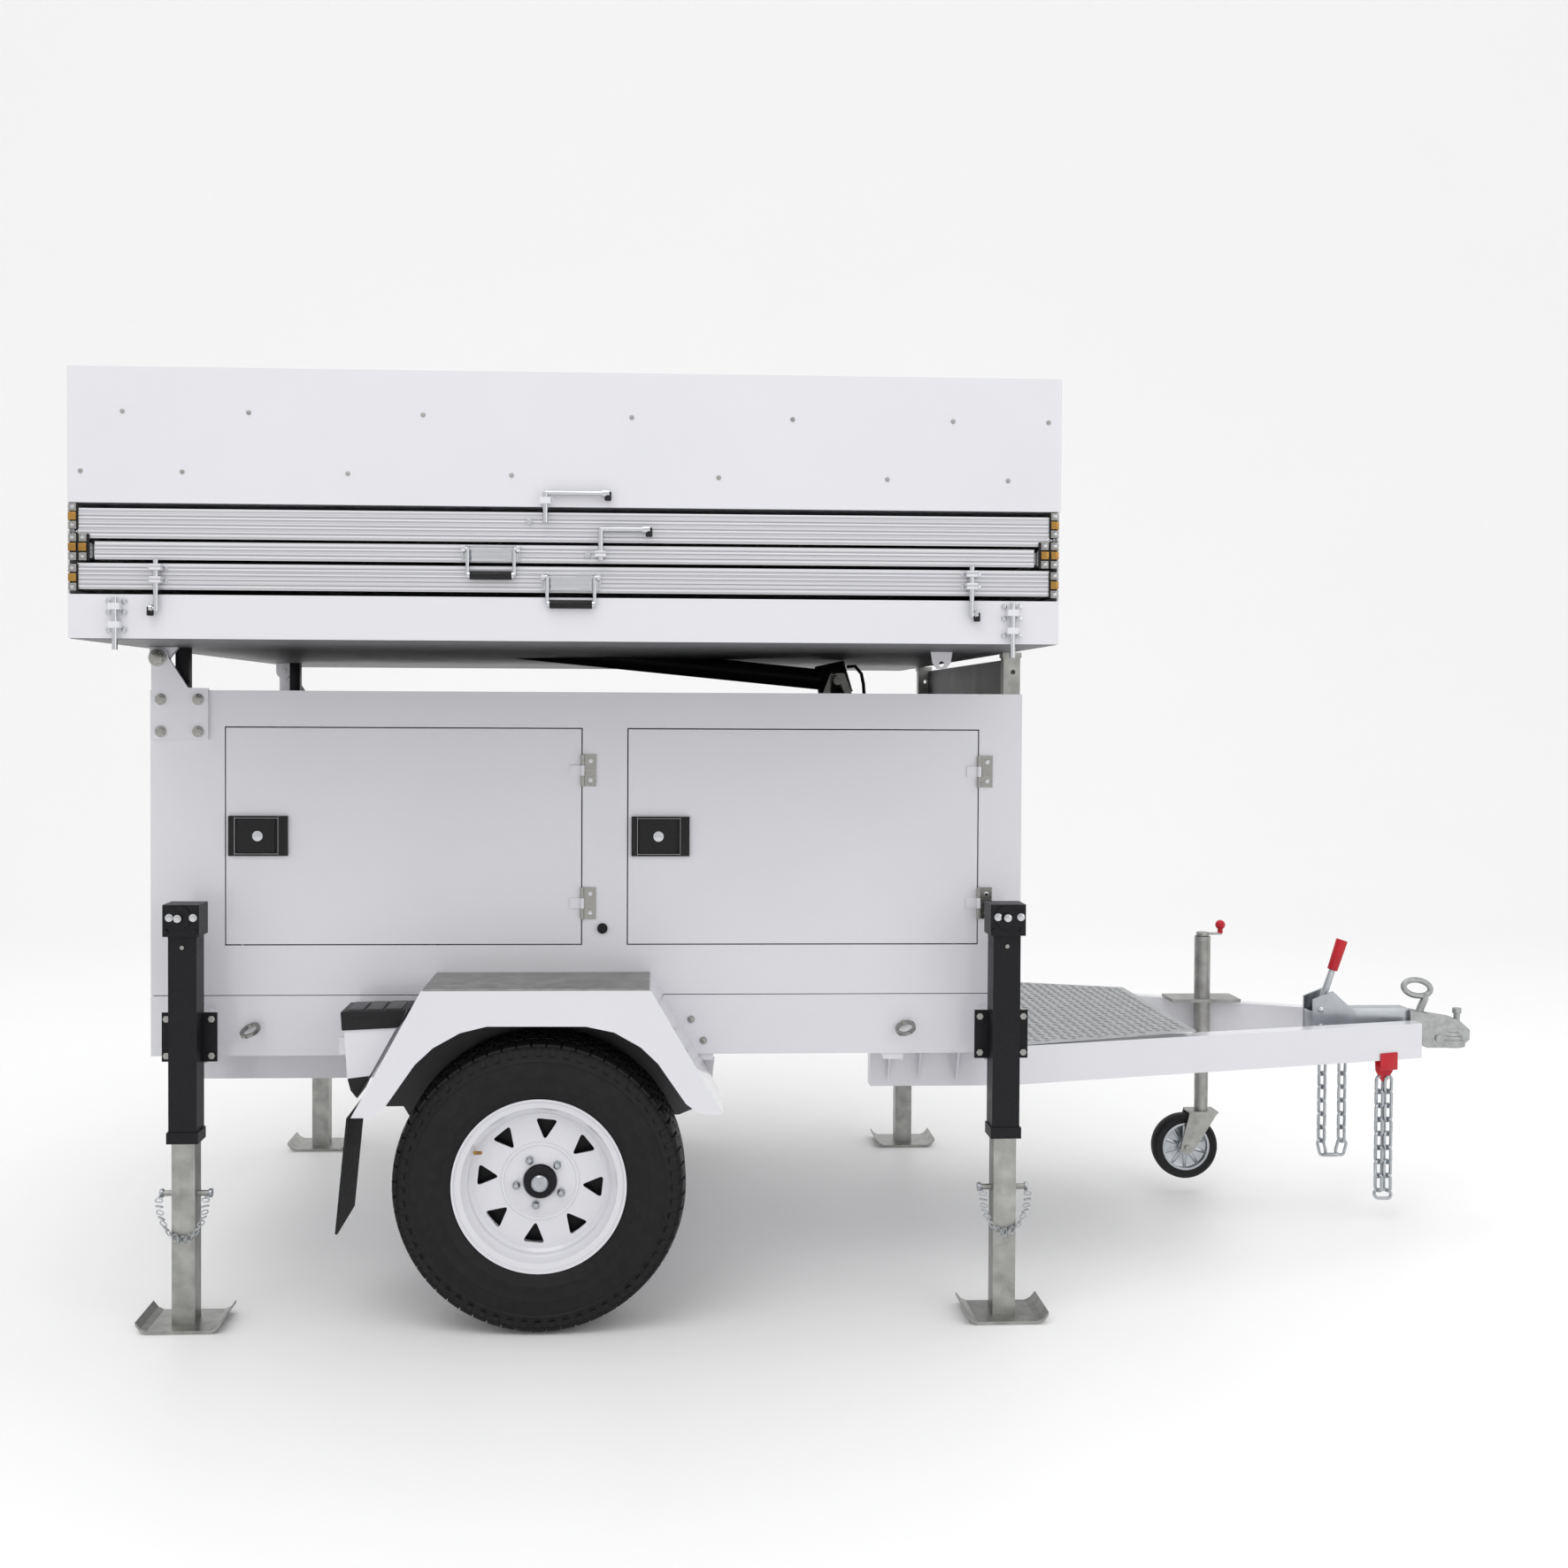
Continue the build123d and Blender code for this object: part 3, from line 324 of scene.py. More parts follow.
def repeated(name, unit, spots, body, material, replaced=(), scale=1.0):
    """A copy of the unit at each (x, y, z, turn) spot, in millimetres and radians."""
    name = name.replace(" ", "_")
    mesh = bpy.data.meshes.new(name)
    mesh.from_pydata([((x - MID_X) / 1000, y / 1000, z / 1000) for x, y, z, _ in spots], [], [])
    turns = mesh.attributes.new("turn", "FLOAT_VECTOR", "POINT")
    for i, spot in enumerate(spots):
        turns.data[i].vector = spot[3]
    obj = bpy.data.objects.new(name, mesh)
    bpy.context.scene.collection.objects.link(obj)
    modifier = obj.modifiers.new("Repeat", "NODES")
    modifier.node_group = repeat_tree()
    given = {"Piece": unit, "Scale": scale, "Finish": MATS[material]}
    for item in modifier.node_group.interface.items_tree:
        if item.in_out == "INPUT" and item.name in given:
            modifier[item.identifier] = given[item.name]
    bake(obj)
    if not obj.data.materials:
        obj.data.materials.append(MATS[material])
    shade(obj.data)
    attach(obj, body, replaced)
    bpy.data.objects.remove(unit)
    return obj


def dome(radius, height):
    """Round head that faces -Y."""
    bm = bmesh.new()
    add_lathe(bm, (0, 0, 0), [(0.01, 0), (radius, 0), (radius, -height * 0.3),
                              (radius * 0.8, -height * 0.75), (0.01, -height)], 16)
    return finished("Dome", bm, None, "stainless", local=True)


def bolt_head(radius, height):
    """Hexagon head on a washer, facing -Y."""
    bm = bmesh.new()
    add_rod(bm, (0, 0, 0), (0, -1.5, 0), radius * 1.35)
    add_rod(bm, (0, -1.5, 0), (0, -height, 0), radius, segments=6)
    return finished("Bolt", bm, None, "stainless", bevel=0.6, local=True)


# ---------------------------------------------------------------- pieces
def paint_cad():
    """Gives each CAD node its finish and a fine rounded edge."""
    slots = {p["node"]: p["material_slot"] for p in frame["record"]["subparts"]}
    for name, obj in frame["nodes"].items():
        obj.data.materials.clear()
        obj.data.materials.append(MATS[slots[name]])
        if name not in ("tyre_near", "tyre_far", "rim_near", "rim_far", "safety_chains"):
            edge = obj.modifiers.new("Edge", "BEVEL")
            edge.width, edge.segments, edge.limit_method = 0.0012, 2, "ANGLE"
            edge.angle_limit = math.radians(40)


def build_tyres(context):
    count = context.scene.trailer.tread_count
    for name, side in (("near", -1), ("far", 1)):
        centre = (0, side * TYRE_Y, AXLE_Z)
        half = [(207, 84), (213, 90), (222, 95), (232, 99), (235, 101.5), (240, 101), (262, 108.5),
                (266, 110.5), (270, 109.5), (286, 112.5), (300, 111), (303, 113), (307, 110),
                (322, 107), (333, 100), (340, 90), (344, 70), (345, 30)]
        profile = half + [(r, -y) for r, y in reversed(half)]
        bm = bmesh.new()
        add_lathe(bm, centre, profile, 160)
        finished("Tyre " + name, bm, "wheel_" + name, "tyre", replaced=["tyre_" + name])
        rows = ((-83, 34, 31, 0.0), (-49, 29, 30, 0.5), (-16.5, 29, 30, 0.0),
                (16.5, 29, 30, 0.5), (49, 29, 30, 0.0), (83, 34, 31, 0.5))
        for index, (across, width, length, offset) in enumerate(rows):
            outer = abs(across) > 80
            bm = bmesh.new()
            add_box(bm, -length / 2, length / 2, -width / 2, width / 2, -4, 4)
            unit = finished("Block", bm, None, "tyre", bevel=1.2, local=True)
            spots = []
            radius = 341.0 if outer else 345.2
            tilt = math.radians(14) * (-1 if across > 0 else 1) if outer else 0.0
            for i in range(count):
                a = 2 * math.pi * (i + offset) / count
                turn = (Matrix.Rotation(a, 3, "Y") @ Matrix.Rotation(tilt, 3, "X")).to_euler()
                spots.append((radius * math.sin(a), centre[1] + across,
                              AXLE_Z + radius * math.cos(a), turn))
            repeated(f"Tread {name} {index}", unit, spots, "wheel_" + name, "tyre")
        bm = bmesh.new()
        add_box(bm, -7, 7, -1, 1, -12, 12)
        unit = finished("Rib", bm, None, "tyre", bevel=0.8, local=True)
        spots = []
        for i in range(count):
            a = 2 * math.pi * i / count
            for face in (-1, 1):
                turn = (Matrix.Rotation(a, 3, "Y") @ Matrix.Rotation(face * 0.55, 3, "X"))
                spots.append((326 * math.sin(a), centre[1] + face * 104.5,
                              AXLE_Z + 326 * math.cos(a), turn.to_euler()))
        repeated("Shoulder ribs " + name, unit, spots, "wheel_" + name, "tyre")


def disc_with_windows(side, y):
    """Flat wheel disc with eight rounded three-sided windows, as a filled outline."""
    curve = bpy.data.curves.new("Disc", "CURVE")
    curve.dimensions, curve.fill_mode = "2D", "BOTH"
    curve.extrude = 0.003
    outlines = [[(163 * math.cos(a), 163 * math.sin(a)) for a in
                 (2 * math.pi * k / 96 for k in range(96))],
                [(40 * math.cos(a), 40 * math.sin(a)) for a in
                 (2 * math.pi * k / 48 for k in range(48))]]
    for i in range(8):
        middle = math.radians(45 * i - 6)
        corners = [(152, -0.18), (152, 0.18), (98, 0.0)]
        points = [(r * math.cos(middle + t), r * math.sin(middle + t)) for r, t in corners]
        window = []
        for k in range(3):
            here = Vector(points[k])
            before, after = Vector(points[k - 1]), Vector(points[(k + 1) % 3])
            one = here + (before - here).normalized() * 11
            two = here + (after - here).normalized() * 11
            for s in range(6):
                f = s / 5
                window.append(tuple((1 - f) ** 2 * one + 2 * f * (1 - f) * here + f * f * two))
        outlines.append(window)
    for outline in outlines:
        spline = curve.splines.new("POLY")
        spline.points.add(len(outline) - 1)
        for point, (u, v) in zip(spline.points, outline):
            point.co = (u / 1000, v / 1000, 0, 1)
        spline.use_cyclic_u = True
    obj = bpy.data.objects.new("Disc outline", curve)
    bpy.context.scene.collection.objects.link(obj)
    graph = bpy.context.evaluated_depsgraph_get()
    mesh = bpy.data.meshes.new_from_object(obj.evaluated_get(graph))
    bpy.data.objects.remove(obj)
    place = Matrix.Translation((-MID_X / 1000, y / 1000, AXLE_Z / 1000))
    mesh.transform(place @ Matrix.Rotation(math.radians(90), 4, "X"))
    return mesh


def build_rims(context):
    for name, side in (("near", -1), ("far", 1)):
        body, y = "wheel_" + name, side * TYRE_Y
        bm = bmesh.new()
        rim = [(208, 89), (208, 85), (206, 84), (203, 78), (190, 75), (184, 62), (178, 58),
               (176, 40), (166, 33), (163, 27), (158, 27), (158, 33), (170, 44), (172, 60),
               (180, 68), (186, 80), (199, 83), (203, 88)]
        outer = [(r, side * w) for r, w in rim]
        barrel = [(178, 40), (178, -50), (192, -70), (207, -84), (207, -89), (200, -86),
                  (186, -70), (172, -52), (172, 38)]
        add_lathe(bm, (0, y, AXLE_Z), outer, 128)
        add_lathe(bm, (0, y, AXLE_Z), [(r, side * w) for r, w in barrel], 128)
        face = y + side * 33
        for radius, swell in ((90, 5.5), (161, 4.5)):
            add_lathe(bm, (0, face, AXLE_Z), [(radius - 5, side * 2), (radius - 3, side * swell),
                                              (radius + 3, side * swell), (radius + 5, side * 2)], 96)
        boss = [(42, 6), (76, 6), (84, 2), (41, 2)]
        add_lathe(bm, (0, face, AXLE_Z), [(r, side * w) for r, w in boss], 96)
        finished("Rim " + name, bm, body, "white_paint", replaced=["rim_" + name])
        disc = bpy.data.objects.new("Disc_" + name, disc_with_windows(side, face))
        bpy.context.scene.collection.objects.link(disc)
        disc.data.materials.append(MATS["white_paint"])
        shade(disc.data)
        attach(disc, body)
        bm = bmesh.new()
        add_lathe(bm, (0, y, AXLE_Z), [(21, side * -54), (60, side * -54), (60, side * 22),
                                       (38, side * 26), (38, side * 50), (30, side * 52),
                                       (21, side * 52)], 64)
        add_lathe(bm, (0, y, AXLE_Z), [(60, side * 6), (152, side * 4), (156, 0), (156, side * -44),
                                       (60, side * -44)], 96)
        finished("Hub " + name, bm, body, "black_paint")
        bm = bmesh.new()
        cap = [(0.5, 66), (16, 66), (20.5, 62), (21, 52), (21, 40), (0.5, 49)]
        add_lathe(bm, (0, y, AXLE_Z), [(r, side * w) for r, w in cap], 48)
        for i in range(5):
            a = math.radians(72 * i + 116)
            x, z = 57.15 * math.cos(a), AXLE_Z + 57.15 * math.sin(a)
            add_rod(bm, (x, face + side * 3, z), (x, face + side * 16, z), 10.5, segments=6)
            add_rod(bm, (x, face + side * 16, z), (x, face + side * 22, z), 9.5, 5)
        finished("Cap and nuts " + name, bm, body, "bright_zinc", bevel=0.8)
        bm = bmesh.new()
        add_rod(bm, (-140, y + side * 58, AXLE_Z + 74), (-152, y + side * 80, AXLE_Z + 80), 4.5)
        finished("Valve " + name, bm, body, "brass")


def build_cabinet(context):
    radius = context.scene.trailer.rivet_radius * 1000
    upper = [(x, -1186, 2124, NEAR) for x in (-887, -616, -239, 217, 572, 929, 1143)]
    lower = [(x, -1186, 1994, NEAR) for x in (-977, -759, -402, -46, 409, 783, 1053)]
    repeated("Cabinet rivets", dome(radius, 3), upper + lower, "display", "galvanised")
    bm = bmesh.new()
    for x, z in ((-7, 1893), (121, 1822)):
        add_rod(bm, (x, -1182, z), (x, -1190, z), 7)
    finished("Lock screws", bm, "display", "chrome", bevel=0.8)


def build_panels(context):
    for body, (x0, x1, z0, z1) in PANELS.items():
        ribs = 9 if z1 - z0 > 50 else 5
        bm = bmesh.new()
        step = (z1 - z0 - 10) / ribs
        add_box(bm, x0 + 2, x1 - 2, -1.4, 1.4, -step * 0.32, step * 0.32)
        bmesh.ops.translate(bm, verts=bm.verts, vec=(-(x0 + x1) / 2, 0, 0))
        unit = finished("Rib", bm, None, "extrusion", local=True)
        spots = [((x0 + x1) / 2, side * PANEL_FACE, z0 + 5 + step * (i + 0.5), NEAR)
                 for i in range(ribs) for side in (-1, 1)]
        repeated("Ribs " + body, unit, spots, body, "extrusion")


def build_slide_ends(context):
    """Screwed end plates and brass runners where the panels meet the end walls."""
    for body, levels in (("display", ((1868, 1924, 20), (1800, 1858, 44))),
                         ("lower_panel", ((1734, 1792, 20),))):
        plates, strips, dark, screws = bmesh.new(), bmesh.new(), bmesh.new(), []
        for end, out in ((-1004.5, 1), (1169.0, -1)):
            for z0, z1, reach in levels:
                middle = (z0 + z1) / 2
                add_box(dark, end, end + out * (reach + 2), -1185.6, -1182.2, z0, z1)
                for start in range(2, reach - 8, 22):
                    for low, high in ((z0, z0 + 17), (z1 - 17, z1)):
                        add_box(plates, end + out * start, end + out * (start + 17), -1188.4,
                                -1185.6, low, high)
                        screws.append((end + out * (start + 8.5), -1188.4, (low + high) / 2, NEAR))
                for start in range(1, reach - 8, 22):
                    add_box(strips, end + out * start, end + out * (start + 18), -1190, -1185.6,
                            middle - 9, middle + 9)
        finished("Slide end plates " + body, plates, body, "stainless", bevel=1.2)
        finished("Slide end backs " + body, dark, body, "black_plastic")
        finished("Brass runners " + body, strips, body, "brass", bevel=2.5)
        repeated("Slide screws " + body, dome(5, 3), screws, body, "chrome")


def build_deck(context):
    pitch = context.scene.trailer.chequer_pitch * 1000
    bm = bmesh.new()
    add_box(bm, -9, 9, -2, 2, -0.8, 0.8)
    unit = finished("Bar", bm, None, "tread_plate", bevel=0.6, local=True)
    spots = []
    for i in range(int(548 / pitch)):
        x = 1212 + i * pitch
        half = BEAM_HALF - BEAM_TAPER * (x - BEAM_BEND) - 16
        for j in range(-int(half / pitch), int(half / pitch) + 1):
            turn = math.radians(45 if (i + j) % 2 else -45)
            spots.append((x, j * pitch, 609.6, Vector((0, 0, turn))))
    repeated("Deck chequer", unit, spots, "chassis", "tread_plate")


def link_unit():
    bm = bmesh.new()
    points = []
    for k in range(24):
        a = 2 * math.pi * k / 24
        points.append((12.5 * math.cos(a), 0, 12.5 * math.sin(a) + (12 if k < 12 else -12)))
    add_path(bm, points, 4.6, closed=True)
    return finished("Link", bm, None, "bright_zinc", local=True)


def link_turn(lean, spin):
    """Rotation of a link spun about its length and then leaned along the chain."""
    turn = Matrix.Rotation(lean, 3, "Y") @ Matrix.Rotation(math.radians(spin), 3, "Z")
    return Vector(turn.to_euler())


def build_chains(context):
    pitch = context.scene.trailer.link_pitch * 1000
    spots = []
    for (x, y), (left, right, low) in zip(CHAIN_SPOTS, CHAIN_LOOPS):
        radius, straight = (right - left) / 2, CHAIN_TOP - low
        total = 2 * straight + math.pi * radius
        count = round(total / pitch)
        for i in range(count + 1):         # down one strand, round the foot, up the other
            run = total * i / count
            if run < straight:
                dx, z, lean = left, CHAIN_TOP - run, 0.0
            elif run > total - straight:
                dx, z, lean = right, CHAIN_TOP - (total - run), 0.0
            else:
                a = (run - straight) / radius
                dx, z, lean = left + radius - radius * math.cos(a), low - radius * math.sin(a), -a
            spots.append((x + dx, y, z, link_turn(lean, 90 * (i % 2) + 22)))
    chain = repeated("Safety chains", link_unit(), spots, "chassis", "bright_zinc")
    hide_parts("safety_chains")
    bm = bmesh.new()
    for cx, y in CHAIN_SPOTS:
        outline = [(cx + dx, z) for dx, z in ((-27, 475), (27, 475), (25, 440), (7, 410),
                                              (-7, 410), (-25, 440))]
        add_prism(bm, outline, y - 4, y + 4)
    finished("Chain brackets", bm, "chassis", "red_paint", bevel=1.5)
    lap = bmesh.new()
    add_box(lap, 2370, 2430, -145, -140.6, 448, 499)
    for vert in lap.verts:                 # lies along the tapered beam
        vert.co.y += (vert.co.x - 2400) * BEAM_TAPER
    finished("Chain lap plate", lap, "chassis", "red_paint", bevel=2)
    for name, (x, y) in JACKS.items():
        side = -1 if y < 0 else 1
        spots = []
        for i in range(21):
            a = math.pi * i / 20
            spots.append((x - 55 * math.cos(a), y + side * 36, 308 - 95 * math.sin(a),
                          link_turn(a - math.pi / 2, 90 * (i % 2))))
        repeated("Pin tether " + name, link_unit(), spots, "leg_" + name, "bright_zinc",
                 scale=0.34)


def build_jacks(context):
    for name, (x, y) in JACKS.items():
        side = -1 if y < 0 else 1
        bm = bmesh.new()
        for dx in (-58, 58):
            add_rod(bm, (x + dx - 4, y, PIN_Z), (x + dx + 4, y, PIN_Z), 11)
        for dx in (-55, 55):
            add_path(bm, [(x + dx, y + side * t, PIN_Z) for t in (0, 20, 36)], 3)
        finished("Pin ends " + name, bm, "leg_" + name, "bright_zinc", bevel=0.8)
    heads = bmesh.new()
    for x, y in JACKS.values():
        side = -1 if y < 0 else 1
        add_rod(heads, (x, side * 862, 911), (x, side * 866, 911), 5)
    finished("Jack screws", heads, "chassis", "stainless", bevel=0.5)


def build_fittings(context):
    """Bolt heads of the brackets and jacks, guard screws, plug and covers of the posts."""
    bolts, pivots, jack = [], [], []
    for side, turn in ((-1, NEAR), (1, FAR)):
        bolts += [(x, side * 715, z, turn) for x in (-942, -851) for z in (1423, 1502)]
        pivots.append((PIVOT[0], side * 719, PIVOT[1], turn))
    repeated("Bracket bolts", bolt_head(10.6, 9), bolts, "chassis", "stainless")
    repeated("Pivot bolts", bolt_head(16, 11), pivots, "chassis", "stainless")
    for x, y in JACKS.values():
        side, turn = (-1, NEAR) if y < 0 else (1, FAR)
        jack += [(x + dx, side * 879, 984, turn) for dx in (-26, 30)]
        jack.append((x - 4, side * 889.2, 983, turn))
    repeated("Jack head bolts", bolt_head(7, 6), jack, "chassis", "chrome")
    screws = [(x, -705, z, NEAR) for x, z in ((364, 707), (395, 654), (355, 629), (362, 614))]
    repeated("Guard screws", dome(9, 7), screws, "chassis", "stainless")
    black = bmesh.new()
    add_rod(black, (142, -705.5, 936), (142, -713, 936), 13)
    for side in (-1, 1):
        low, high = sorted((side * 639.6, side * 672.4))
        add_box(black, -918.4, -885.6, low, high, 1525.2, 1630.3)
    finished("Plug and rear posts", black, "chassis", "black_paint", bevel=1)
    under = bmesh.new()
    add_box(under, -1001, 1165.5, -1182, 1182, 1630.1, 1630.9)
    finished("Tray underside", under, "display", "dark_grey")
    cross = bmesh.new()
    add_box(cross, 1182.6, 1183.9, -664, 664, 1526, 1616)
    finished("Cross panel face", cross, "chassis", "dark_grey")
    build_guard_shade_sheets()


def build_guard_shade_sheets():
    """Dark sheets of painted shade under each mudguard, with a back sheet of painted shade on the
    body side behind the tyre.
    """
    shade_sheets = bmesh.new()
    # painted shade: dark grey sheets inside each mudguard arch and on the body side behind the tyre
    path = [(-424, 530), (-269, 818), (261, 818), (427, 534)]
    inner = [(-419, 530), (-266, 815), (258, 815), (422, 534)]
    back = [(-404, 493), (-350, 493), (-335, 468), (335, 468), (396, 493), (416, 545),
            (254, 814), (-262, 814), (-420, 545)]
    for side in (-1, 1):
        rows = [[shade_sheets.verts.new((x, side * y, z)) for x, z in run]
                for run in (path, inner) for y in (966, 708)]
        for one, two in ((0, 1), (2, 3), (0, 2), (1, 3)):
            for k in range(3):
                shade_sheets.faces.new((rows[one][k], rows[one][k + 1], rows[two][k + 1], rows[two][k]))
        for k in (0, 3):
            shade_sheets.faces.new((rows[0][k], rows[1][k], rows[3][k], rows[2][k]))
        add_prism(shade_sheets, back, *sorted((side * 706.2, side * 707.6)))
    finished("Guard liners", shade_sheets, "chassis", "dark_grey")


def build_latches(context):
    for body, x0 in (("rear_door", -778.5), ("front_door", 214.0)):
        x1, z0, z1 = x0 + 144, 1117, 1215
        bm = bmesh.new()
        for a, b, low, high in ((x0 - 0.4, x0 + 14.6, z0 - 0.4, z1 + 0.4),
                                (x1 - 22.6, x1 + 0.4, z0 - 0.4, z1 + 0.4),
                                (x0 + 14.6, x1 - 22.6, z0 - 0.4, z0 + 4.6),
                                (x0 + 14.6, x1 - 22.6, z1 - 4.6, z1 + 0.4)):
            add_box(bm, a, b, -715.6, -705.2, low, high)
        add_box(bm, x0 + 14.6, x1 - 22.6, -708.5, -705.2, z0 + 4.6, z1 - 4.6)
        finished("Latch frame " + body, bm, body, "black_plastic", bevel=1.0)
    for body, x in (("rear_paddle", -707.0), ("front_paddle", 281.0)):
        bm = bmesh.new()
        add_rod(bm, (x, -714, 1166), (x, -717, 1166), 13)
        add_rod(bm, (x, -717, 1166), (x, -719, 1166), 9)
        finished("Key lock " + body, bm, body, "chrome", bevel=0.8)
    hinges = bmesh.new()
    for x in (91.5, 1086.5):
        for z in (999, 1330):
            for dz in (-24, 24):
                add_rod(hinges, (x + 20, -708.5, z + dz), (x + 20, -711, z + dz), 5.5)
    finished("Hinge screws", hinges, "chassis", "chrome", bevel=0.6)


def build_crank(context):
    bm = bmesh.new()
    add_rod(bm, (1962, 200, 793.5), (1962, 200, 806), 19)
    add_box(bm, 1958, 2020, 193, 207, 797.5, 804)
    finished("Crank arm", bm, "jockey_crank", "galvanised", bevel=1.5,
             replaced=["jockey_crank"])
    bm = bmesh.new()
    bmesh.ops.create_uvsphere(bm, u_segments=24, v_segments=16, radius=15,
                              matrix=Matrix.Translation((2017, 200, 828)))
    add_rod(bm, (2017, 200, 802), (2017, 200, 822), 8)
    finished("Crank knob", bm, "jockey_crank", "red_paint")


def build_jockey_wheel(context):
    bm = bmesh.new()
    add_lathe(bm, JOCKEY_HUB, [(72, -20), (92, -25), (98, -18), (100, 0), (98, 18), (92, 25),
                               (72, 20)],
              96)
    finished("Jockey tyre", bm, "jockey_wheel", "rubber", replaced=["jockey_wheel"])
    bm = bmesh.new()
    add_lathe(bm, JOCKEY_HUB, [(66, -22), (73, -22), (73, 22), (66, 22), (66, 6), (24, 4),
                               (24, 24), (9, 24), (9, -24), (24, -24), (24, -4), (66, -6)], 64)
    x, y, z = JOCKEY_HUB
    for i in range(10):                    # spokes
        a = 2 * math.pi * i / 10
        ends = [(x + r * math.sin(a), y, z + r * math.cos(a)) for r in (22, 68)]
        add_rod(bm, *ends, 8, segments=8)
    finished("Jockey rim", bm, "jockey_wheel", "bright_zinc", bevel=0.8)


def build_roof_gaiter(context):
    """Ribbed boot over the cylinder foot, with its hose."""
    bm = bmesh.new()
    for i in range(14):
        ends = [(800 - (z - 1529) * 0.22, 0, z) for z in (1529 + i * 6.5, 1529 + (i + 1) * 6.5)]
        wide = 52 - i * 0.5
        add_rod(bm, *ends, wide, wide - 3, segments=40)
    finished("Boot", bm, "chassis", "rubber", bevel=1.0)
    bm = bmesh.new()
    add_path(bm, [(828, -40, 1610), (850, -50, 1612), (868, -54, 1590), (874, -56, 1560),
                  (876, -58, 1530)], 5)
    finished("Hose", bm, "chassis", "rubber")


def build_coupling(context):
    bm = bmesh.new()
    points = [(2546 + 40 * math.cos(a) - 8 * math.sin(a), 0, 664 + 24 * math.sin(a))
              for a in (2 * math.pi * k / 40 for k in range(40))]
    add_path(bm, points, 8.5, closed=True, segments=14)
    add_path(bm, [(2550, 0, 578), (2558, 0, 606), (2570, 0, 632), (2566, 0, 646)], 11)
    finished("Coupling ring", bm, "coupling_handle", "cast", replaced=["coupling_handle"])
    bm = bmesh.new()
    add_rod(bm, (2508, 0, 560), (2566, 0, 548), 34, 38, segments=32)
    for k in range(9):
        a, b = math.radians(90 * k / 9), math.radians(90 * (k + 1) / 9)
        add_rod(bm, (2640, 0, 502 + 72 * math.sin(a)), (2640, 0, 502 + 72 * math.sin(b)),
                49.5 * math.cos(a), 49.5 * math.cos(b) + 0.1, segments=40)
    add_rod(bm, (2640, 0, 492.5), (2640, 0, 504), 49.8, segments=40)
    add_box(bm, 2556, 2640, -36, 36, 496, 560)
    add_rod(bm, (2668, 0, 540), (2668, 0, 596), 9)
    add_rod(bm, (2668, 0, 588), (2668, 0, 604), 13)
    for y in (-39, 39):
        add_rod(bm, (2596, y * 0.9, 520), (2596, y * 1.12, 520), 11)
    finished("Coupling casting", bm, "chassis", "cast", bevel=2)
    bm = bmesh.new()
    add_box(bm, 2290, 2508, -27, 27, 549.2, 608.5)
    add_box(bm, 2216.3, 2219, -32, 32, 523, 600)
    finished("Coupling tube", bm, "chassis", "bright_zinc", bevel=4)
    bolts = [(x, -41, z, NEAR) for x, z in ((2238, 556), (2238, 606), (2320, 550))]
    repeated("Bracket hardware", bolt_head(7, 6), bolts, "chassis", "chrome")


def build_lever(context):
    bm = bmesh.new()
    add_rod(bm, (2288, 0, 718), (2317, 0, 808), 15, 17)
    finished("Lever grip", bm, "handbrake_lever", "red_paint", bevel=3)
    bm = bmesh.new()
    add_rod(bm, (2238, 0, 568), (2290, 0, 724), 12, 9)
    finished("Lever bar", bm, "handbrake_lever", "bright_zinc", bevel=1,
             replaced=["handbrake_lever"])


def build_bolt_trim(context):
    """Base plates, screws and black knobs of the spring and barrel bolts."""
    plate, tube = bmesh.new(), bmesh.new()
    add_box(plate, 45, 160, -1190, -1186.2, 1948, 1962)
    add_rod(tube, (45, -1193.5, 1955), (160, -1193.5, 1955), 3.2)
    finished("Barrel plate", plate, "display", "chrome", bevel=0.8)
    finished("Barrel", tube, "display", "chrome")
    for node, x, z in (("cabinet_bolt", 166, 1955), ("upper_bolt", 256, 1877),
                       ("lower_bolt_rear", -824, 1696), ("lower_bolt_front", 983, 1696)):
        bm = bmesh.new()
        add_rod(bm, (x, -1200, z + 4), (x, -1200, z - 16), 7.5)
        finished("Knob " + node, bm, node, "black_plastic", bevel=2)
    nuts = [(x + dx, -1186.2, z, NEAR) for x, levels in ((-900, (1712, 1688, 1650)),
                                                         (1063, (1714, 1688, 1650)))
            for z in levels for dx in (-17, 17)]
    repeated("Guide nuts", bolt_head(5, 5), nuts, "display", "chrome")
    low = [(x + dx, -1182.6, z, NEAR) for x in (-812, 971) for z in (1758, 1785)
           for dx in (-17, 17)]
    repeated("Panel guide nuts", bolt_head(4.5, 4), low, "lower_panel", "chrome")


def build_handle_grips(context):
    for body, x0, x1, low, high in (("middle_panel", -154, -26, 1805, 1841),
                                    ("lower_panel", 20, 150, 1743, 1780)):
        bm = bmesh.new()
        for a, b, c, d in ((x0, x1, high - 4, high), (x0, x1, low, low + 4),
                           (x0, x0 + 4, low + 4, high - 4), (x1 - 4, x1, low + 4, high - 4)):
            add_box(bm, a, b, -1186.5, -1183.2, c, d)
        add_box(bm, x0 + 4, x1 - 4, -1184.4, -1183.2, low + 4, high - 4)
        add_box(bm, x0 + 22, x1 - 22, -1187.4, -1184.4, high - 15, high - 7)
        finished("Handle plate " + body, bm, body, "chrome", bevel=0.8)
    for body, x0, x1, z in (("middle_handle", -150, -30, 1774), ("lower_handle", 24, 146, 1712)):
        bm = bmesh.new()
        add_rod(bm, (x0 + 14, -1194, z), (x1 - 14, -1194, z), 9.5)
        finished("Grip " + body, bm, body, "black_plastic", bevel=2)


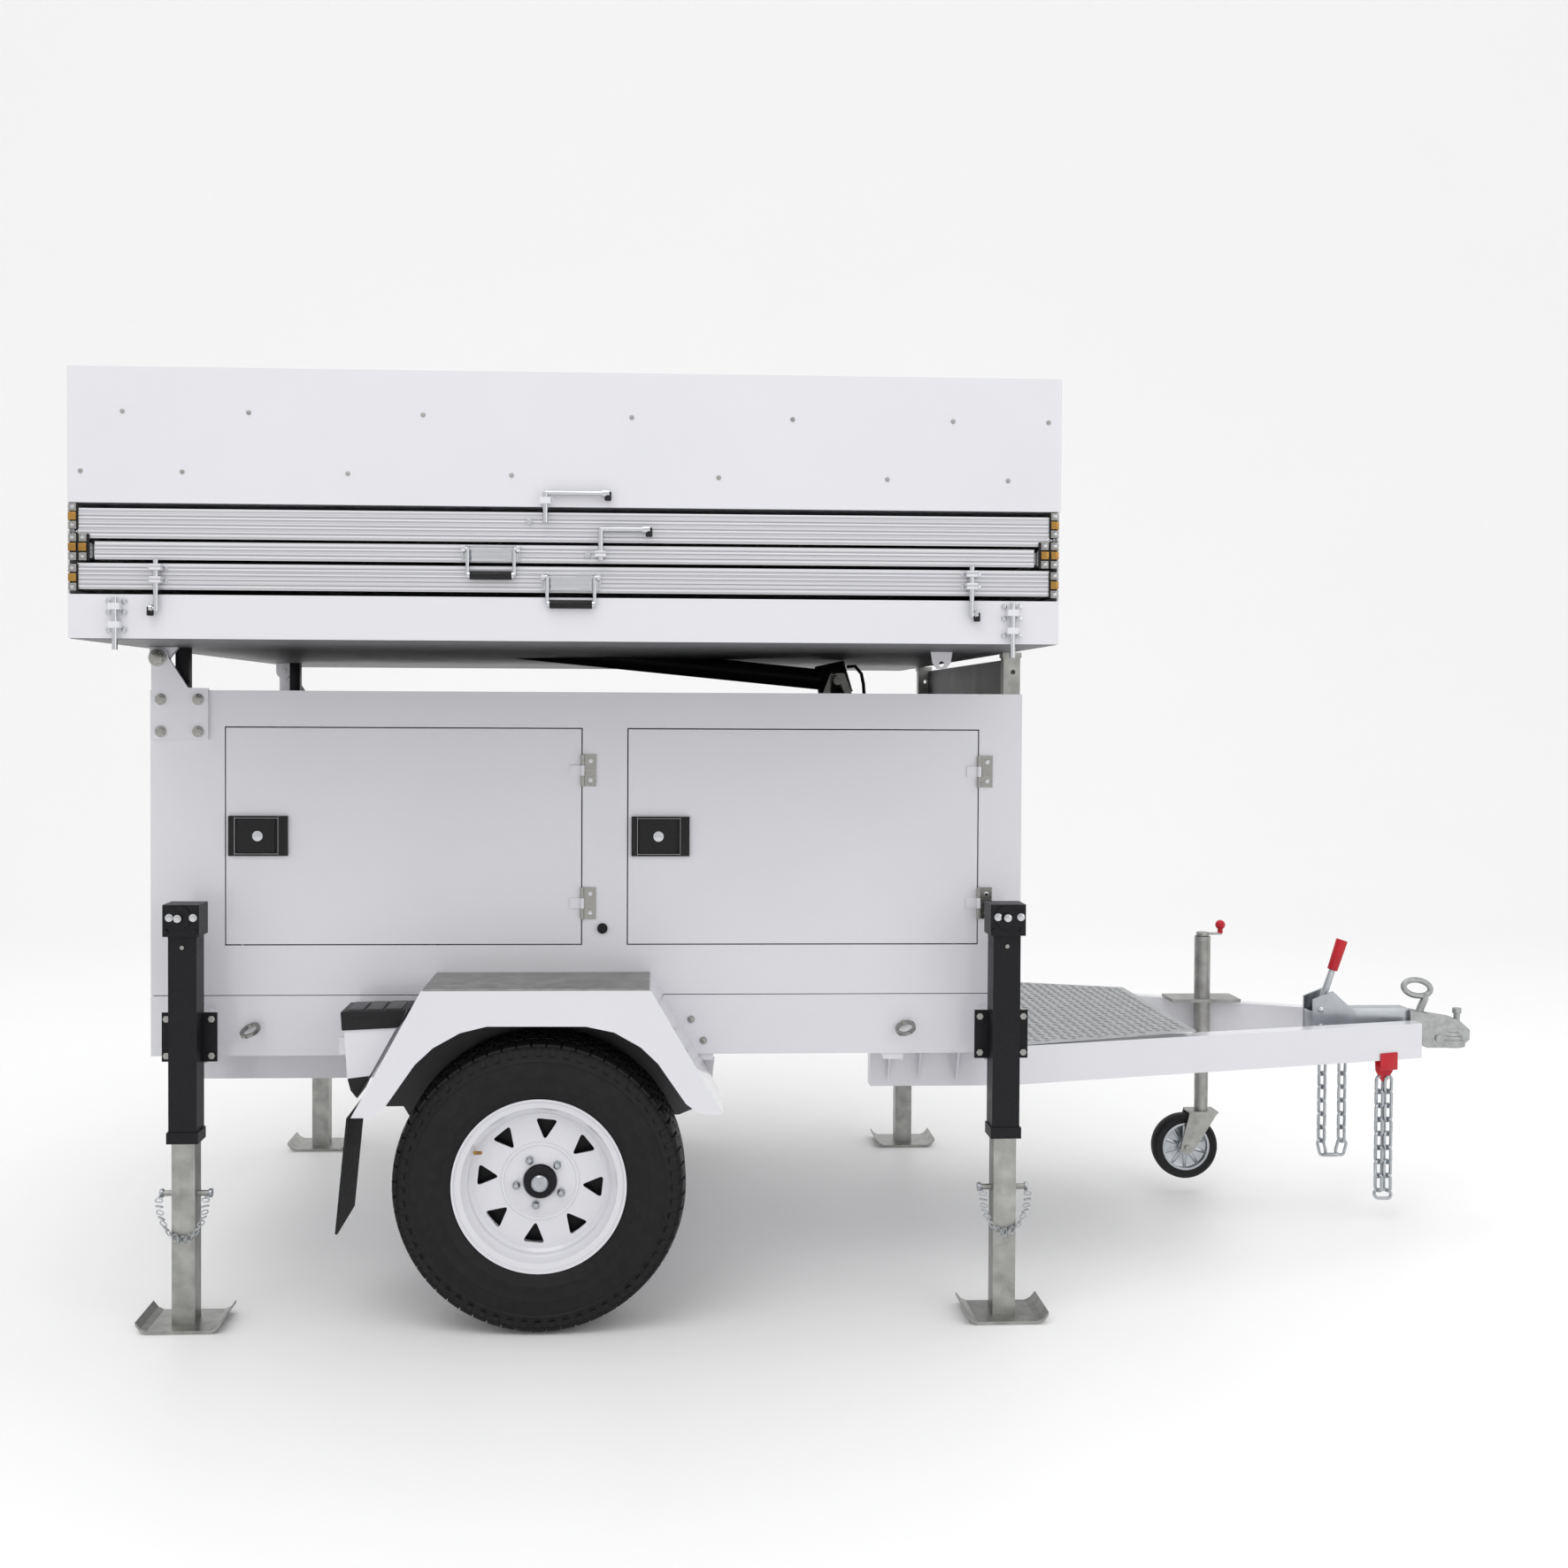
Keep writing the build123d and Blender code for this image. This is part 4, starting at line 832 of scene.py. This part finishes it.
def build_canister_trim(context):
    lid, base = bmesh.new(), bmesh.new()
    for bm, outline, low, high in (
            (lid, [(-468, 717.5), (-335, 723.6), (-313, 767), (-471, 763)], -900, -765),
            (base, [(-456, 603.5), (-402.4, 610.3), (-419, 582), (-432, 554), (-448, 574)],
             -894, -771)):
        add_prism(bm, outline, low, high)
    finished("Canister lid", lid, "chassis", "black_plastic", bevel=3)
    finished("Canister base", base, "chassis", "black_plastic", bevel=3)
    steps = bmesh.new()
    for side in (-1, 1):
        low, high = sorted((side * 964.5, side * 706.5))
        add_box(steps, -268.5, 260.5, low, high, 823.2, 826.6)
    finished("Step plates", steps, "chassis", "galvanised", bevel=0.6)
    bm = bmesh.new()
    for i in range(3):
        add_box(bm, -455 + i * 45, -418 + i * 45, -886, -782, 763 + i * 1.2, 767.5 + i * 1.2)
    finished("Canister trim", bm, "chassis", "dark_grey", bevel=1.5)


# ---------------------------------------------------------------- stage
def build_stage(context):
    scene = context.scene
    bm = bmesh.new()
    profile = [(-30, 0), (6, 0)]
    profile += [(6 + 6 * math.sin(math.radians(a)), 6 - 6 * math.cos(math.radians(a)))
                for a in range(6, 91, 6)] + [(12, 24)]
    rows = [[bm.verts.new((x, y, z - 0.0005)) for y, z in profile] for x in (-30, 30)]
    for k in range(len(profile) - 1):
        bm.faces.new((rows[0][k], rows[1][k], rows[1][k + 1], rows[0][k + 1]))
    mesh = bpy.data.meshes.new("Backdrop")
    bm.to_mesh(mesh)
    bm.free()
    shade(mesh)
    floor = bpy.data.objects.new("Backdrop", mesh)
    scene.collection.objects.link(floor)
    mesh.materials.append(MATS["floor"])
    for name, spot, size, power in (("Key", (-2.0, -4.0, 6.5), 4.0, 90),
                                    ("Fill", (4.5, -5.5, 3.0), 4.0, 40),
                                    ("Top", (0, 0.5, 7.0), 5.0, 80)):
        lamp = bpy.data.lights.new(name, "AREA")
        lamp.size, lamp.energy = size, power
        obj = bpy.data.objects.new(name, lamp)
        obj.location = spot
        obj.rotation_euler = (Vector((0, 0, 1)) - Vector(spot)).to_track_quat("-Z", "Y").to_euler()
        scene.collection.objects.link(obj)
    world = bpy.data.worlds.new("Studio")
    world.use_nodes = True
    world.node_tree.nodes["Background"].inputs["Color"].default_value = (1, 1, 1, 1)
    world.node_tree.nodes["Background"].inputs["Strength"].default_value = 0.92
    scene.world = world
    scene.view_settings.view_transform = "Standard"
    data = bpy.data.cameras.new("Camera")
    data.lens, data.sensor_width = 38.6, 36
    data.shift_x, data.shift_y = 0.0347, -0.0258
    camera = bpy.data.objects.new("Camera", data)
    yaw, pitch, roll = -0.0453, -0.0187, 0.0047
    flat = Vector((-math.sin(yaw), math.cos(yaw), 0))
    ahead = flat * math.cos(pitch) + Vector((0, 0, math.sin(pitch)))
    right = Vector((math.cos(yaw), math.sin(yaw), 0))
    up = right.cross(ahead)
    side = right * math.cos(roll) + up * math.sin(roll)
    top = up * math.cos(roll) - right * math.sin(roll)
    turn = Matrix((side, top, -ahead)).transposed().to_4x4()
    camera.matrix_world = Matrix.Translation(((267.3 - MID_X) / 1000, -4.904, 1.477)) @ turn
    scene.collection.objects.link(camera)
    scene.camera = camera


# ---------------------------------------------------------------- add-on
class TRAILER_OT_finishes(bpy.types.Operator):
    """Make the finishes and give every CAD piece its own"""
    bl_idname = "trailer.finishes"
    bl_label = "Finish CAD pieces"

    def execute(self, context):
        make_finishes(context.scene.trailer)
        paint_cad()
        return {"FINISHED"}


class TRAILER_OT_tyres(bpy.types.Operator):
    """Build both road tyres"""
    bl_idname = "trailer.tyres"
    bl_label = "Tyres"

    def execute(self, context):
        build_tyres(context)
        return {"FINISHED"}


class TRAILER_OT_rims(bpy.types.Operator):
    """Build both road wheels, hubs and nuts"""
    bl_idname = "trailer.rims"
    bl_label = "Wheels"

    def execute(self, context):
        build_rims(context)
        return {"FINISHED"}


class TRAILER_OT_cabinet(bpy.types.Operator):
    """Add rivets and screws to the display cabinet"""
    bl_idname = "trailer.cabinet"
    bl_label = "Cabinet rivets"

    def execute(self, context):
        build_cabinet(context)
        return {"FINISHED"}


class TRAILER_OT_panels(bpy.types.Operator):
    """Rib the faces of the sliding panels"""
    bl_idname = "trailer.panels"
    bl_label = "Panel ribs"

    def execute(self, context):
        build_panels(context)
        return {"FINISHED"}


class TRAILER_OT_slide_ends(bpy.types.Operator):
    """Add the screwed ends of the slides"""
    bl_idname = "trailer.slide_ends"
    bl_label = "Slide ends"

    def execute(self, context):
        build_slide_ends(context)
        return {"FINISHED"}


class TRAILER_OT_deck(bpy.types.Operator):
    """Raise the chequer bars of the deck plate"""
    bl_idname = "trailer.deck"
    bl_label = "Deck"

    def execute(self, context):
        build_deck(context)
        return {"FINISHED"}


class TRAILER_OT_chains(bpy.types.Operator):
    """Build safety chains and pin tethers"""
    bl_idname = "trailer.chains"
    bl_label = "Chains"

    def execute(self, context):
        build_chains(context)
        return {"FINISHED"}


class TRAILER_OT_jacks(bpy.types.Operator):
    """Add pin ends and screws to the jacks"""
    bl_idname = "trailer.jacks"
    bl_label = "Jacks"

    def execute(self, context):
        build_jacks(context)
        return {"FINISHED"}


class TRAILER_OT_fittings(bpy.types.Operator):
    """Add bolts, plug, post covers and the painted shade under the mudguards"""
    bl_idname = "trailer.fittings"
    bl_label = "Fittings"

    def execute(self, context):
        build_fittings(context)
        return {"FINISHED"}


class TRAILER_OT_latches(bpy.types.Operator):
    """Add key locks and hinge screws"""
    bl_idname = "trailer.latches"
    bl_label = "Latches"

    def execute(self, context):
        build_latches(context)
        return {"FINISHED"}


class TRAILER_OT_crank(bpy.types.Operator):
    """Build the jockey wheel's crank"""
    bl_idname = "trailer.crank"
    bl_label = "Jockey crank"

    def execute(self, context):
        build_crank(context)
        return {"FINISHED"}


class TRAILER_OT_jockey_wheel(bpy.types.Operator):
    """Build the jockey wheel"""
    bl_idname = "trailer.jockey_wheel"
    bl_label = "Jockey wheel"

    def execute(self, context):
        build_jockey_wheel(context)
        return {"FINISHED"}


class TRAILER_OT_roof_gaiter(bpy.types.Operator):
    """Build the boot and hose on the roof"""
    bl_idname = "trailer.roof_gaiter"
    bl_label = "Roof boot"

    def execute(self, context):
        build_roof_gaiter(context)
        return {"FINISHED"}


class TRAILER_OT_coupling(bpy.types.Operator):
    """Build the coupling's handle, casting and tube"""
    bl_idname = "trailer.coupling"
    bl_label = "Coupling ring"

    def execute(self, context):
        build_coupling(context)
        return {"FINISHED"}


class TRAILER_OT_lever(bpy.types.Operator):
    """Build the handbrake lever"""
    bl_idname = "trailer.lever"
    bl_label = "Handbrake lever"

    def execute(self, context):
        build_lever(context)
        return {"FINISHED"}


class TRAILER_OT_bolt_trim(bpy.types.Operator):
    """Add plates, knobs and nuts to the bolts"""
    bl_idname = "trailer.bolt_trim"
    bl_label = "Bolt trim"

    def execute(self, context):
        build_bolt_trim(context)
        return {"FINISHED"}


class TRAILER_OT_grips(bpy.types.Operator):
    """Add the grips of the bail handles"""
    bl_idname = "trailer.grips"
    bl_label = "Handle grips"

    def execute(self, context):
        build_handle_grips(context)
        return {"FINISHED"}


class TRAILER_OT_canister(bpy.types.Operator):
    """Add the canister's lid, base and top bars, and the step plates"""
    bl_idname = "trailer.canister"
    bl_label = "Canister trim"

    def execute(self, context):
        build_canister_trim(context)
        return {"FINISHED"}


class TRAILER_OT_stage(bpy.types.Operator):
    """Add floor, lights and camera"""
    bl_idname = "trailer.stage"
    bl_label = "Stage"

    def execute(self, context):
        build_stage(context)
        return {"FINISHED"}


OPERATORS = (
    TRAILER_OT_finishes, TRAILER_OT_tyres, TRAILER_OT_rims,
    TRAILER_OT_cabinet, TRAILER_OT_panels, TRAILER_OT_slide_ends,
    TRAILER_OT_deck, TRAILER_OT_chains, TRAILER_OT_jacks,
    TRAILER_OT_fittings, TRAILER_OT_latches, TRAILER_OT_crank,
    TRAILER_OT_jockey_wheel, TRAILER_OT_roof_gaiter, TRAILER_OT_coupling,
    TRAILER_OT_lever, TRAILER_OT_bolt_trim, TRAILER_OT_grips,
    TRAILER_OT_canister, TRAILER_OT_stage,
)


class TRAILER_PT_panel(bpy.types.Panel):
    bl_label = "Trailer"
    bl_idname = "TRAILER_PT_panel"
    bl_space_type = "VIEW_3D"
    bl_region_type = "UI"
    bl_category = "Trailer"

    def draw(self, context):
        settings = context.scene.trailer
        for name in ("paint_color", "accent_color", "tread_count", "rivet_radius", "link_pitch",
                     "chequer_pitch"):
            self.layout.prop(settings, name)
        for cls in OPERATORS:
            self.layout.operator(cls.bl_idname)


def register():
    for cls in (TrailerSettings, *OPERATORS, TRAILER_PT_panel):
        bpy.utils.register_class(cls)
    bpy.types.Scene.trailer = bpy.props.PointerProperty(type=TrailerSettings)


def unregister():
    del bpy.types.Scene.trailer
    for cls in (TRAILER_PT_panel, *reversed(OPERATORS), TrailerSettings):
        bpy.utils.unregister_class(cls)


def main():
    register()
    bpy.ops.trailer.finishes()
    bpy.ops.trailer.tyres()
    bpy.ops.trailer.rims()
    bpy.ops.trailer.cabinet()
    bpy.ops.trailer.panels()
    bpy.ops.trailer.slide_ends()
    bpy.ops.trailer.deck()
    bpy.ops.trailer.chains()
    bpy.ops.trailer.jacks()
    bpy.ops.trailer.fittings()
    bpy.ops.trailer.latches()
    bpy.ops.trailer.crank()
    bpy.ops.trailer.jockey_wheel()
    bpy.ops.trailer.roof_gaiter()
    bpy.ops.trailer.coupling()
    bpy.ops.trailer.lever()
    bpy.ops.trailer.bolt_trim()
    bpy.ops.trailer.grips()
    bpy.ops.trailer.canister()
    bpy.ops.trailer.stage()


if __name__ == "__main__":
    main()
